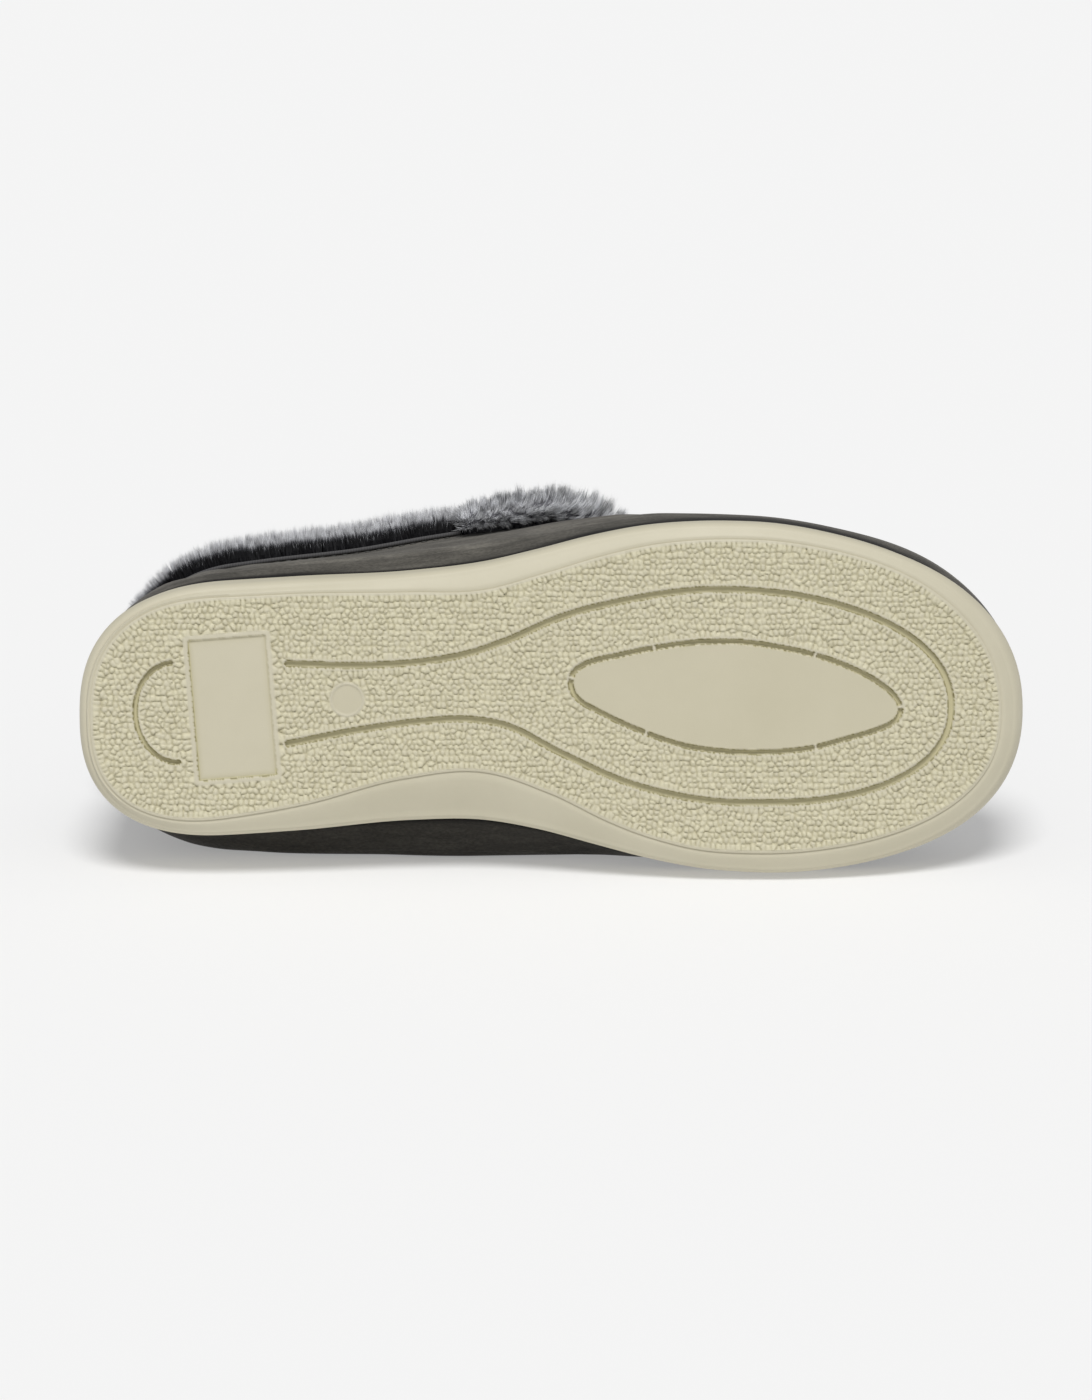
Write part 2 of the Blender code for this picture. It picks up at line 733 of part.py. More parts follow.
lying = bpy.data.objects.new("lying", None)
parts.objects.link(lying)
lying.rotation_euler.x = -math.pi / 2 - LEAN
for piece in pieces:
    piece.parent = lying
bpy.context.view_layer.update()
corners = np.array([piece.matrix_world @ vert.co for piece in pieces for vert in piece.data.vertices])
middle = (corners.min(axis=0) + corners.max(axis=0)) / 2
lying.location = (-middle[0], -middle[1], FLOOR * MM)
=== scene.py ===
import json
import math

import bmesh
import bpy
import numpy as np
from mathutils import Matrix, Vector
from mathutils.kdtree import KDTree


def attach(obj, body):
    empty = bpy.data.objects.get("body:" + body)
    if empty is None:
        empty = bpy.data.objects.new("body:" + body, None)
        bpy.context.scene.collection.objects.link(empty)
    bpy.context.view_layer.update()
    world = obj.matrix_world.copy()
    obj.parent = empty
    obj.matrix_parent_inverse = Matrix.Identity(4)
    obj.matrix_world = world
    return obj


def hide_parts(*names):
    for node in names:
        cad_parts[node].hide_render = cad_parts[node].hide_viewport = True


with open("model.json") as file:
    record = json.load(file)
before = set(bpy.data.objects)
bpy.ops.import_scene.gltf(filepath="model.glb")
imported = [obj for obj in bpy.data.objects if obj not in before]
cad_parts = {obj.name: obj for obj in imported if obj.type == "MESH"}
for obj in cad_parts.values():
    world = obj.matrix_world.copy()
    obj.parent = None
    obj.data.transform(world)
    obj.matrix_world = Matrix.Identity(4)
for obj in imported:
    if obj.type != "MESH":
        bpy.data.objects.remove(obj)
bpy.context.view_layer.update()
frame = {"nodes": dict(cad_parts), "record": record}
print("frame loaded with", len(frame["nodes"]), "nodes")

# shoe frame in millimetres: x from heel to toe, y to the inner side, z up from the tread
place = {
    "mountOnTread": (150.0, -2.0, 0.0),  # where the record's tread mount sits
    "millimetre": 0.001,
}
treadMount = frame["record"]["mounts"][0]
toeAxis = Vector((1.0, 0.0, 0.0))
upAxis = -Vector(treadMount["axis"]).normalized()
innerAxis = upAxis.cross(toeAxis)
shoeToWorld = Matrix((toeAxis, innerAxis, upAxis)).transposed() * place["millimetre"]
lying = shoeToWorld.to_4x4()
lying.translation = Vector(treadMount["pos_m"]) - shoeToWorld @ Vector(place["mountOnTread"])


def columns(names, *rows):
    return dict(zip(names.split(), np.array(rows, float).T))


def readColumn(rows, column, along):  # smooth reading of one column
    knots = rows["along"]
    values = rows[column]
    slopes = np.gradient(values, knots)
    along = np.clip(along, knots[0], knots[-1])
    cell = np.clip(np.searchsorted(knots, along) - 1, 0, len(knots) - 2)
    width = knots[cell + 1] - knots[cell]
    t = (along - knots[cell]) / width
    rise = t * t * (3 - 2 * t)
    lead = t * (1 - t) ** 2 * width * slopes[cell]
    trail = t * t * (1 - t) * width * slopes[cell + 1]
    return values[cell] * (1 - rise) + values[cell + 1] * rise + lead - trail


def softStep(low, high, value):
    t = np.clip((value - low) / (high - low), 0, 1)
    return t * t * (3 - 2 * t)


def between(span, value):  # rises, stays at 1 and falls again
    return softStep(span[0], span[1], value) * (1 - softStep(span[2], span[3], value))


def unit(vectors):
    return vectors / np.maximum(np.linalg.norm(vectors, axis=-1, keepdims=True), 1e-9)


def runOf(line):  # distance along a line of points
    return np.concatenate([[0.0], np.cumsum(np.linalg.norm(np.diff(line, axis=0), axis=1))])


# the last: outline of the sole, its thickness and the lift at the toe
last = {
    "length": 258.0,
    "ballWidth": 96.3,
    "heelRound": 41.0,
    "heelPower": 2.45,
    "toeRound": 77.0,
    "toePower": 2.2,
    "toeSpring": 8.0,
    "springStart": 188.0,
    "endBlend": 0.02,
    "endFan": 14.0,
    "tangentStep": 0.004,
    "gap": 0.3,
    "plan": columns(
        "along centre half",
        (0.000, 4.4, 0.718),
        (0.120, 3.0, 0.718),
        (0.235, 1.2, 0.719),
        (0.350, -0.9, 0.710),
        (0.430, -2.2, 0.738),
        (0.485, -2.7, 0.797),
        (0.545, -2.7, 0.880),
        (0.600, -2.2, 0.946),
        (0.660, -1.3, 0.989),
        (0.720, -0.6, 1.000),
        (0.810, 0.6, 0.994),
        (0.910, 1.9, 0.996),
        (1.000, 3.5, 1.000),
    ),
    "sections": columns(
        "along thick bandIn bandOut",
        (0.00, 20.5, 3.0, 3.0),
        (0.08, 20.5, 4.0, 2.9),
        (0.15, 20.3, 5.0, 3.4),
        (0.25, 19.2, 7.9, 3.9),
        (0.35, 17.5, 12.4, 5.1),
        (0.42, 16.4, 14.0, 6.9),
        (0.485, 15.3, 11.3, 6.3),
        (0.56, 14.3, 7.3, 5.5),
        (0.63, 13.6, 5.7, 4.8),
        (0.75, 13.0, 6.0, 4.3),
        (0.85, 12.6, 6.2, 4.0),
        (0.92, 12.4, 6.0, 4.4),
        (1.00, 12.2, 5.3, 5.3),
    ),
}


def rounded(distance, depth, power):
    u = np.clip(1 - distance / depth, 0, 1)
    return (1 - u**power) ** (1 / power)


def halves(turn):  # turn 0 is the heel, 1 the toe, 2 the heel again
    turn = np.mod(turn, 2.0)
    side = np.where(turn <= 1, 1.0, -1.0)
    share = np.where(turn <= 1, turn, 2 - turn)
    return side, (1 - np.cos(np.pi * share)) / 2


def readSides(rows, column, side, along):  # the inner and the outer column meet at the heel and the toe
    nearEnd = np.clip(np.minimum(along, 1 - along) / last["endBlend"], 0, 1)
    weight = 0.5 + 0.5 * side * nearEnd
    outer = readColumn(rows, column + "Out", along)
    return readColumn(rows, column + "In", along) * weight + outer * (1 - weight)


def soleSpread(turn, share):  # share 1 is the sole's edge, 0 its middle line
    side, along = halves(turn)
    x = along * last["length"]
    ends = rounded(x, last["heelRound"], last["heelPower"])
    ends = ends * rounded(last["length"] - x, last["toeRound"], last["toePower"])
    half = readColumn(last["plan"], "half", along) * last["ballWidth"] / 2 * ends
    return np.stack([x, readColumn(last["plan"], "centre", along) + side * half * share], axis=-1)


def soleEdge(turn):
    return soleSpread(turn, 1.0)


def outward(turn, curve):
    run = unit(curve(turn + last["tangentStep"]) - curve(turn - last["tangentStep"]))
    return np.stack([-run[..., 1], run[..., 0]], axis=-1)


def soleRing(turn, inset, z):
    plan = soleEdge(turn) - outward(turn, soleEdge) * np.reshape(inset, (-1, 1))
    return np.column_stack([plan, np.broadcast_to(z, len(turn))])


def bevelRows(ring, inset, top, bevel, steps):  # a rounded upper edge, as rows of ring(inset, z)
    angles = np.linspace(0, math.pi / 2, steps)[1:]
    return [ring(inset + bevel * (1 - math.cos(a)), top - bevel * (1 - math.sin(a))) for a in angles]


def inward(turn, ring, share):  # between the sole's middle line, which stops short of both ends, and a ring
    x = np.clip(soleSpread(turn, 0.0)[:, 0], last["endFan"], last["length"] - last["endFan"])
    middle = np.column_stack([x, readColumn(last["plan"], "centre", x / last["length"]), ring[:, 2]])
    return ring * share + middle * (1 - share)


def thickness(turn):
    return readColumn(last["sections"], "thick", halves(turn)[1])


def bandWidth(turn):
    return readSides(last["sections"], "band", *halves(turn))


def spring(x):
    ahead = np.clip((x - last["springStart"]) / (last["length"] - last["springStart"]), 0, None)
    return last["toeSpring"] * ahead**2


def lifted(points):
    points = np.array(points, float)
    points[..., 2] += spring(points[..., 0])
    return points


def floorLimit(points):  # how far to the inner side a point may lie above the floor
    height = lying.translation.z / place["millimetre"]
    return (height + upAxis.z * points[..., 2]) / -innerAxis.z


def offFloor(points):
    points = np.array(points, float)
    points[..., 1] = np.minimum(points[..., 1], floorLimit(points))
    return points


# the upper's own function, from the sole up to the topline
wallShape = {
    "thick": 2.4,
    "baseInset": 1.3,
    "footPull": 0.4,
    "flareLimit": math.radians(57.0),
    "pressBlend": 2.0,
    "toplineBack": 8.0,
    "toplineFront": 154.0,
    "backRound": 31.0,
    "frontRound": 33.0,
    "toplinePower": 2.2,
    "notch": 0.655,  # where the cuff takes over from the collar
    "edgeRises": np.linspace(2.0, 1.2, 25),
    "sections": columns(
        "along outIn outOut bulge lowerPull upperPull",
        (0.00, -0.8, -0.8, 13.0, 0.50, 0.34),
        (0.09, 4.4, 1.4, 12.0, 0.50, 0.34),
        (0.18, 9.2, 2.8, 10.0, 0.48, 0.34),
        (0.30, 12.6, 4.0, 10.0, 0.46, 0.36),
        (0.42, 14.2, 4.5, 11.0, 0.45, 0.38),
        (0.50, 10.4, 3.4, 13.0, 0.44, 0.40),
        (0.58, 4.0, 2.4, 15.0, 0.42, 0.42),
        (0.68, -0.8, 0.9, 16.0, 0.38, 0.44),
        (0.80, -0.8, 1.0, 14.0, 0.32, 0.45),
        (0.91, 0.5, 2.0, 12.0, 0.27, 0.45),
        (1.00, 1.6, 1.6, 11.0, 0.24, 0.45),
    ),
    "run": columns(
        "along top",
        (0.000, 0.000), (0.078, 0.076), (0.233, 0.338), (0.388, 0.593), (0.504, 0.752),
        (0.581, 0.834), (0.678, 0.910), (0.775, 0.959), (0.891, 0.990), (1.000, 1.000),
    ),
    "topline": columns(
        "along centre half height leanIn leanOut",
        (0.00, 3.2, 31.5, 67.0, 10.0, 10.0),
        (0.15, 0.8, 32.2, 62.5, 10.0, 6.0),
        (0.30, 0.1, 34.8, 58.5, 12.0, 2.0),
        (0.45, -0.9, 36.5, 57.0, 14.0, 0.0),
        (0.60, -2.6, 38.6, 57.2, 14.0, 0.0),
        (0.72, -3.8, 39.7, 59.5, 15.0, 3.0),
        (0.84, -3.8, 40.2, 64.0, 24.0, 18.0),
        (0.93, -2.6, 40.4, 70.5, 40.0, 38.0),
        (1.00, -1.0, 40.4, 78.0, 54.0, 54.0),
    ),
}


def pressed(points):  # the soft wall lies flat, with a rounded onset, where it meets the floor
    limit = floorLimit(points)
    y = points[..., 1]
    reach = wallShape["pressBlend"]
    blend = np.clip(reach - np.abs(y - limit), 0, None) / reach
    points[..., 1] = np.minimum(y, limit) - blend**2 * reach / 4
    return points


def topline(turn):
    shape = wallShape
    side, along = halves(turn)
    top = np.clip(readColumn(shape["run"], "top", along), 0, 1)
    x = shape["toplineBack"] + top * (shape["toplineFront"] - shape["toplineBack"])
    ends = rounded(x - shape["toplineBack"], shape["backRound"], shape["toplinePower"])
    ends = ends * rounded(shape["toplineFront"] - x, shape["frontRound"], shape["toplinePower"])
    line = shape["topline"]
    y = readColumn(line, "centre", top) + side * readColumn(line, "half", top) * ends
    lean = readSides(line, "lean", side, top)
    return np.stack([x, y], axis=-1), readColumn(line, "height", top), np.radians(lean)


def toplinePlan(turn):
    return topline(turn)[0]


def bezier(a, b, c, d, t):
    return a * (1 - t) ** 3 + 3 * b * t * (1 - t) ** 2 + 3 * c * t * t * (1 - t) + d * t**3


def wall(turn, rise):  # rise 0 to 1 from the sole to the widest place, 1 to 2 on to the topline
    rows = wallShape["sections"]
    up = np.array([0.0, 0.0, 1.0])
    side, along = halves(turn)
    level = np.zeros(len(turn))
    normal = np.column_stack([outward(turn, soleEdge), level])
    baseZ = thickness(turn) + last["gap"]
    proud = readSides(rows, "out", side, along)
    bulge = readColumn(rows, "bulge", along)
    foot = soleRing(turn, level + wallShape["baseInset"], baseZ)
    wide = soleRing(turn, -proud, baseZ + bulge)
    plan, height, lean = topline(turn)
    top = np.column_stack([plan, height])
    toMiddle = -np.column_stack([outward(turn, toplinePlan), level])
    arrive = toMiddle * np.sin(lean)[:, None] + up * np.cos(lean)[:, None]
    flare = np.arctan2(proud + wallShape["baseInset"], bulge)
    flare = np.clip(flare, 0, wallShape["flareLimit"])[:, None]
    leave = normal * np.sin(flare) + up * np.cos(flare)
    reach = wallShape["footPull"] * np.linalg.norm(wide - foot, axis=1, keepdims=True)
    t = np.clip(rise, 0, 1)[:, None]
    below = bezier(foot, foot + leave * reach, wide - up * reach, wide, t)
    lower = (readColumn(rows, "lowerPull", along) * (height - wide[:, 2]))[:, None]
    upper = readColumn(rows, "upperPull", along)[:, None] * np.linalg.norm(top - wide, axis=1, keepdims=True)
    t = np.clip(rise - 1, 0, 1)[:, None]
    above = bezier(wide, wide + up * lower, top - arrive * upper, top, t)
    return pressed(lifted(np.where(rise[:, None] <= 1, below, above)))


def wallFrame(turn, rise):
    step = last["tangentStep"]
    across = wall(turn + step, rise) - wall(turn - step, rise)
    above = unit(wall(turn, np.minimum(rise + step, 2.0)) - wall(turn, np.maximum(rise - step, 0.0)))
    return wall(turn, rise), unit(np.cross(above, across)), above


def besideWall(turns, outs, ups):  # out from the wall's face, up from the topline or down the wall
    stations, count = outs.shape
    rises = wallShape["edgeRises"]
    lines = wall(np.repeat(turns, len(rises)), np.tile(rises, stations)).reshape(stations, -1, 3)
    rise = [np.interp(-up, runOf(line), rises) for up, line in zip(ups, lines)]
    points, normal, above = wallFrame(np.repeat(turns, count), np.concatenate(rise))
    points = points + normal * outs.reshape(-1, 1) + above * np.clip(ups.reshape(-1, 1), 0, None)
    return points.reshape(stations, count, 3), normal.reshape(stations, count, 3)


def notchTurn():
    turns = np.linspace(0, 1, 2000)
    tops = np.clip(readColumn(wallShape["run"], "top", halves(turns)[1]), 0, 1)
    return float(np.interp(wallShape["notch"], tops, turns))


def evenTurns(span, margin, count):
    turns = np.linspace(*span, 1200)
    plan, height, _ = topline(turns)
    run = runOf(np.column_stack([plan, height]))
    marks = np.linspace(margin, run[-1] - margin, count)
    return np.interp(marks, run, turns), marks - margin


aroundBack = (2 - notchTurn(), 2 + notchTurn())
acrossFront = (notchTurn(), 2 - notchTurn())


# making and placing pieces
def loft(points, layer=None, marks=None):  # a grid laid over rows of points, closed where points double
    rows, count = points.shape[:2]
    bm = bmesh.new()
    marked = bm.verts.layers.float.new(layer) if layer else None
    bmesh.ops.create_grid(bm, x_segments=count - 1, y_segments=rows - 1, size=0.5)
    for vert in bm.verts:
        column = round((vert.co.x + 0.5) * (count - 1))
        row = round((vert.co.y + 0.5) * (rows - 1))
        vert.co = points[row, column]
        if layer:
            vert[marked] = marks[row, column]
    bmesh.ops.remove_doubles(bm, verts=bm.verts[:], dist=0.002)
    bmesh.ops.recalc_face_normals(bm, faces=bm.faces[:])
    return bm


def closeHoles(bm):
    bmesh.ops.holes_fill(bm, edges=[edge for edge in bm.edges if edge.is_boundary], sides=0)
    bmesh.ops.recalc_face_normals(bm, faces=bm.faces[:])
    return bm


def meshOf(name, bm):
    mesh = bpy.data.meshes.new(name)
    bm.to_mesh(mesh)
    bm.free()
    return mesh


def putMesh(name, mesh, material, slot, node=None):
    mesh.materials.append(material)
    piece = bpy.data.objects.new(name, mesh)
    bpy.context.scene.collection.objects.link(piece)
    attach(piece, "root")
    if node:
        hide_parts(node)
    triangles = sum(len(face.vertices) - 2 for face in mesh.polygons)
    print(name, "has", triangles, "triangles")
    return piece


def putPiece(name, bm, material, slot, node=None, sharp=None):
    bmesh.ops.transform(bm, matrix=lying, verts=bm.verts[:])
    mesh = meshOf(name, bm)
    mesh.shade_smooth()
    if sharp:
        mesh.set_sharp_from_angle(angle=math.radians(sharp))
    return putMesh(name, mesh, material, slot, node)


# making materials
def srgb(red, green, blue):
    shares = np.array([red, green, blue]) / 255
    light = np.where(shares <= 0.04045, shares / 12.92, ((shares + 0.055) / 1.055) ** 2.4)
    return (*light.tolist(), 1.0)


def startMaterial(name, sockets):
    material = bpy.data.materials.new(name)
    material.use_nodes = True
    shader = material.node_tree.nodes["Principled BSDF"]
    for socket, value in sockets.items():
        shader.inputs[socket].default_value = value
    return material, material.node_tree


def addNode(tree, kind, inputs=None, **settings):
    node = tree.nodes.new(kind)
    for key, value in settings.items():
        setattr(node, key, value)
    for key, value in (inputs or {}).items():
        if isinstance(value, bpy.types.NodeSocket):
            tree.links.new(value, node.inputs[key])
        else:
            node.inputs[key].default_value = value
    return node


def objectPlace(tree, stretch=(1.0, 1.0, 1.0)):
    coords = addNode(tree, "ShaderNodeTexCoord")
    mapping = addNode(tree, "ShaderNodeMapping", {"Vector": coords.outputs["Object"], "Scale": stretch})
    return mapping.outputs["Vector"]


def noiseOf(tree, vector, scale, detail=3.0, roughness=0.55):
    inputs = {"Vector": vector, "Scale": scale, "Detail": detail, "Roughness": roughness}
    return addNode(tree, "ShaderNodeTexNoise", inputs).outputs["Fac"]


def rampOf(tree, factor, stops):
    node = addNode(tree, "ShaderNodeValToRGB", {"Fac": factor})
    elements = node.color_ramp.elements
    while len(elements) < len(stops):
        elements.new(0.5)
    for element, (position, colour) in zip(elements, stops):
        element.position = position
        element.color = colour
    return node.outputs["Color"]


def mixOf(tree, factor, first, second, blend="MIX"):
    inputs = {0: factor, 6: first, 7: second}
    return addNode(tree, "ShaderNodeMix", inputs, data_type="RGBA", blend_type=blend).outputs[2]


def bumpOf(tree, height, strength, distance, normal=None):
    inputs = {"Height": height, "Strength": strength, "Distance": distance}
    if normal:
        inputs["Normal"] = normal
    return addNode(tree, "ShaderNodeBump", inputs).outputs["Normal"]


def greyRange(tree, factor, low, high):
    inputs = {"Value": factor, "To Min": low, "To Max": high}
    return addNode(tree, "ShaderNodeMapRange", inputs).outputs["Result"]


def layerOf(tree, name):  # a value that the mesh carries at each point
    return addNode(tree, "ShaderNodeAttribute", attribute_name=name).outputs["Fac"]


def greys(*stops):
    return [(position, (value, value, value, 1)) for position, value in stops]


def wire(material, colour, normal=None, roughness=None):
    tree = material.node_tree
    for socket, value in (("Base Color", colour), ("Normal", normal), ("Roughness", roughness)):
        if value:
            tree.links.new(value, tree.nodes["Principled BSDF"].inputs[socket])
    return material


# cream rubber of the sole, with painted shade in the crevices, grooves and recesses of the tread
rubber = {
    "pale": srgb(207, 201, 180),
    "cloud": srgb(190, 184, 161),
    "warm": srgb(214, 208, 180),
    "crevice": srgb(184, 177, 146),
    "groove": srgb(192, 185, 149),
    "grooveEdgeShade": srgb(136, 129, 93),
    "matt": (0.5, 0.62),
    "grain": 2600.0,
    "uneven": 1100.0,  # fine unevenness of the pebbles
    "clouds": 30.0,
}


def soleRubber():
    material, tree = startMaterial("sole_rubber", {"Specular IOR Level": 0.35})
    vector = objectPlace(tree)
    cloud = noiseOf(tree, vector, rubber["clouds"], 7.0, 0.66)
    pale = mixOf(tree, cloud, rubber["pale"], rubber["cloud"])
    tone = layerOf(tree, "tone")
    pale = mixOf(tree, tone, pale, rubber["warm"])
    # painted shade: the sunk value darkens the crevices, the grooves and their edges, and the recesses
    sunk = layerOf(tree, "sunk")
    shallow = rampOf(tree, sunk, greys((0.0, 1), (0.08, 1), (0.3, 0.55), (0.8, 0)))
    stops = ((0.6, "crevice"), (0.75, "groove"), (0.85, "groove"), (1.0, "grooveEdgeShade"))
    deep = rampOf(tree, sunk, [(position, rubber[part]) for position, part in stops])
    grain = noiseOf(tree, vector, rubber["grain"], 2.0)
    uneven = noiseOf(tree, vector, rubber["uneven"], 3.0, 0.6)
    uneven = addNode(tree, "ShaderNodeMath", {0: uneven, 1: tone}, operation="MULTIPLY").outputs["Value"]
    normal = bumpOf(tree, grain, 0.12, 0.0002, bumpOf(tree, uneven, 0.6, 0.0006))
    return wire(material, mixOf(tree, shallow, deep, pale), normal, greyRange(tree, cloud, *rubber["matt"]))


solePaint = soleRubber()

# the sole's smooth band, rounded shoulder and side, under the tread field
soleBody = {
    "columns": 480,
    "fieldStep": 0.5,
    "lineWidth": 0.8,
    "lineDepth": 0.64,
    "shoulderInset": 1.7,
    "shoulderRise": 1.2,
    "sideRound": 3.84,
    "archSlope": 0.4,
    "heelSwell": 0.7,
    "toeSwell": 1.3,
    "swellEnds": (0.12, 0.84),
    "bandCurve": 1.25,
    "bandNominal": 5.5,
    "topBevel": 0.8,
    "underTread": 2.4,
    "bandRows": 7,
    "roundRows": 9,
    "sideRows": 6,
}


def makeSoleBody():
    size = soleBody
    turn = np.linspace(0, 2, size["columns"] + 1)
    band = bandWidth(turn)
    thick = thickness(turn)
    flat = np.zeros(len(turn))
    shoulder = size["fieldStep"] + size["shoulderRise"]
    shoulder = shoulder + size["archSlope"] * np.clip(band - size["bandNominal"], 0, None)
    along = halves(turn)[1]
    swell = size["heelSwell"] * (1 - softStep(0, size["swellEnds"][0], along))
    swell = swell + size["toeSwell"] * softStep(size["swellEnds"][1], 1, along)

    def sideRing(inset, z):
        share = np.clip((z - shoulder) / (thick - shoulder), 0, 1)
        return soleRing(turn, inset - swell * np.sin(np.pi * share), z)

    bed = soleRing(turn, band + 0.6, size["underTread"])
    rows = [inward(turn, bed, share) for share in (0.0, 0.4)] + [bed]
    rows.append(soleRing(turn, band + 0.3, size["lineDepth"]))
    rows.append(soleRing(turn, band - 0.1, size["lineDepth"]))
    for share in np.linspace(0, 1, size["bandRows"]):
        inset = (band - size["lineWidth"]) * (1 - share) + size["shoulderInset"] * share
        z = size["fieldStep"] + (shoulder - size["fieldStep"]) * share ** size["bandCurve"]
        rows.append(soleRing(turn, inset, z))
    for angle in np.linspace(0, math.pi / 2, size["roundRows"])[1:]:
        inset = size["shoulderInset"] * (1 - math.sin(angle))
        rows.append(sideRing(flat + inset, shoulder + size["sideRound"] * (1 - math.cos(angle))))
    side = shoulder + size["sideRound"]
    bevel = size["topBevel"]
    for share in np.linspace(0, 1, size["sideRows"])[1:]:
        rows.append(sideRing(flat, side + (thick - bevel - side) * share))
    rows += bevelRows(sideRing, flat, thick, bevel, 4)
    rows += [inward(turn, rows[-1], share) for share in (0.8, 0.4, 0.0)]
    bm = loft(lifted(np.array(rows)))
    return putPiece("outsole_body", bm, solePaint, "sole_rubber", "outsole", sharp=50)


makeSoleBody()

# the tread field: pebbles, grooves, leaf panel, plate and ring, all sunk from the tread plane
tread = {
    "cell": 0.32,
    "step": 0.1,  # between the points of a line, the field's or a groove's
    "split": 118.0,  # the field is made in two pieces that meet here
    "slab": 1.9,
    "grooveDepth": 1.15,
    "wall": 0.3,
    "margin": 0.7,
    "edgeDrop": (0.25, 0.6),  # how deep and how wide the fall at the field's edge is
    "grooveShade": (0.8, 0.2),
    "horseshoeWidth": 2.0,
    "horseshoeFront": 238.7,
    "horseshoeRound": 59.0,
    "horseshoe": columns(
        "along centre half",
        (0.221, 0.5, 11.0),
        (0.290, -1.0, 9.0),
        (0.365, -2.9, 8.2),
        (0.410, -4.2, 8.9),
        (0.450, -5.1, 11.4),
        (0.510, -4.6, 18.6),
        (0.580, -2.9, 25.0),
        (0.660, -1.9, 28.8),
        (0.740, -1.1, 29.1),
        (0.830, 0.3, 29.1),
        (0.930, 1.8, 29.1),
    ),
    "leaf": (
        (134.4, -5.7), (135.1, -8.0), (136.8, -9.6), (139.9, -11.0), (146.9, -12.7), (157.0, -14.8),
        (169.2, -16.4), (180.1, -16.5), (190.9, -15.1), (201.2, -12.8), (211.8, -8.9), (220.0, -4.2),
        (223.1, -1.3), (224.7, 1.8), (224.0, 4.5), (222.2, 6.1), (219.0, 7.5), (209.1, 10.4),
        (201.6, 12.4), (189.1, 13.8), (176.4, 13.6), (163.8, 11.6), (155.3, 8.7), (146.9, 5.1),
        (140.6, 1.9), (137.5, 0.2), (135.4, -1.9), (134.5, -4.0),
    ),
    "leafWidth": 1.6,
    "leafBridge": 0.8,
    "leafBridges": ((134.3, -6.6), (157.1, -14.8), (201.1, -12.7), (224.5, 1.6), (201.4, 12.5), (155.0, 8.5)),
    "bridgeReach": 2.0,
    "bridgeDepth": 0.15,
    "bridgeShade": 0.1,
    "leafSink": 0.12,
    "leafShade": 0.2,
    "arcCentre": (26.5, 2.9),
    "arcAxes": (11.2, 13.7),
    "arcWidth": 1.5,
    "arcAngles": (92, 268),
    "arcTurn": -4.0,
    "plateCentre": (41.8, 1.7),
    "plateSize": (21.7, 38.9),
    "plateTurn": -4.5,
    "plateDepth": 0.5,
    "plateRim": 1.1,
    "plateShade": 0.12,
    "plateShadeSoft": (0.28, 2.4),  # how dark and how wide the painted shade along the edges inside the plate is
    "plateShadeLine": (0.6, 0.8),
    "ringCentre": (73.2, -0.6),
    "ringRadius": 4.1,
    "ringWidth": 0.55,
    "ringDepth": 0.34,
    "ringBare": 0.9,
    "ringShade": 0.18,
    "pebble": 1.5,
    "pebbleJitter": 0.46,
    "pebbleDepth": 0.52,
    "pebbleDome": 0.08,
    "pebbleUneven": 0.14,
    "pebbleTilt": 0.09,
    "crevice": 0.32,
    "lip": 0.45,
    "rowPitch": 1.45,
    "rowOffset": 1.0,
    "edgeOffset": 0.8,
    "rowJitter": 0.16,
    "rowClear": 0.75,  # share of the pitch that is kept clear beside a row
    "plateClear": 0.4,
    "ringClear": 1.0,
    "grooveClear": 0.5,
    "acrossField": 55.0,  # to each side, past the widest place of the field
    "weakCrevice": 0.4,
    "tones": (0.4, 1.0),
    "seed": 11,
}


def turnedBy(points, centre, degrees):
    angle = math.radians(degrees)
    x = points[:, 0] * math.cos(angle) - points[:, 1] * math.sin(angle) + centre[0]
    y = points[:, 0] * math.sin(angle) + points[:, 1] * math.cos(angle) + centre[1]
    return np.column_stack([x, y])


def localTo(points, centre, degrees):
    return turnedBy(points - np.array(centre), (0, 0), -degrees)


def dense(path):  # even points along a line, and the line's unit normal at each
    run = runOf(path)
    marks = np.linspace(0, run[-1], max(2, int(run[-1] / tread["step"])))
    points = np.column_stack([np.interp(marks, run, path[:, axis]) for axis in (0, 1)])
    slope = unit(np.gradient(points, axis=0))
    return points, np.column_stack([-slope[:, 1], slope[:, 0]])


def horseshoePath():
    start = tread["horseshoe"]["along"][0] * last["length"]
    x = start + (tread["horseshoeFront"] - start) * np.sin(np.linspace(0, math.pi / 2, 200))
    half = readColumn(tread["horseshoe"], "half", x / last["length"])
    half = half * rounded(tread["horseshoeFront"] - x, tread["horseshoeRound"], last["toePower"])
    centre = readColumn(tread["horseshoe"], "centre", x / last["length"])
    return np.vstack([np.column_stack([x, centre + half]), np.column_stack([x, centre - half])[-2::-1]])


def leafPath():  # a smooth closed line through the leaf's points
    points = np.array(tread["leaf"] * 3)
    run = runOf(points)
    line = {"along": run, "x": points[:, 0], "y": points[:, 1]}
    count = len(tread["leaf"])
    marks = np.linspace(run[count], run[2 * count], 1200)
    return np.column_stack([readColumn(line, "x", marks), readColumn(line, "y", marks)])


def arcPath():
    angles = np.radians(np.linspace(*tread["arcAngles"], 90))
    points = np.column_stack([tread["arcAxes"][0] * np.cos(angles), tread["arcAxes"][1] * np.sin(angles)])
    return turnedBy(points, tread["arcCentre"], tread["arcTurn"])


def fieldPath():
    turn = np.linspace(0, 2, 2400)
    return soleEdge(turn) - outward(turn, soleEdge) * bandWidth(turn)[:, None]


def treeOf(points):
    tree = KDTree(len(points))
    for number, (x, y) in enumerate(points):
        tree.insert((x, y, 0), number)
    tree.balance()
    return tree


def nearest(path, points):  # number of the nearest point of the path, and its distance
    tree = treeOf(path)
    found = [tree.find((x, y, 0)) for x, y in points]
    return np.array([row[1] for row in found]), np.array([row[2] for row in found])


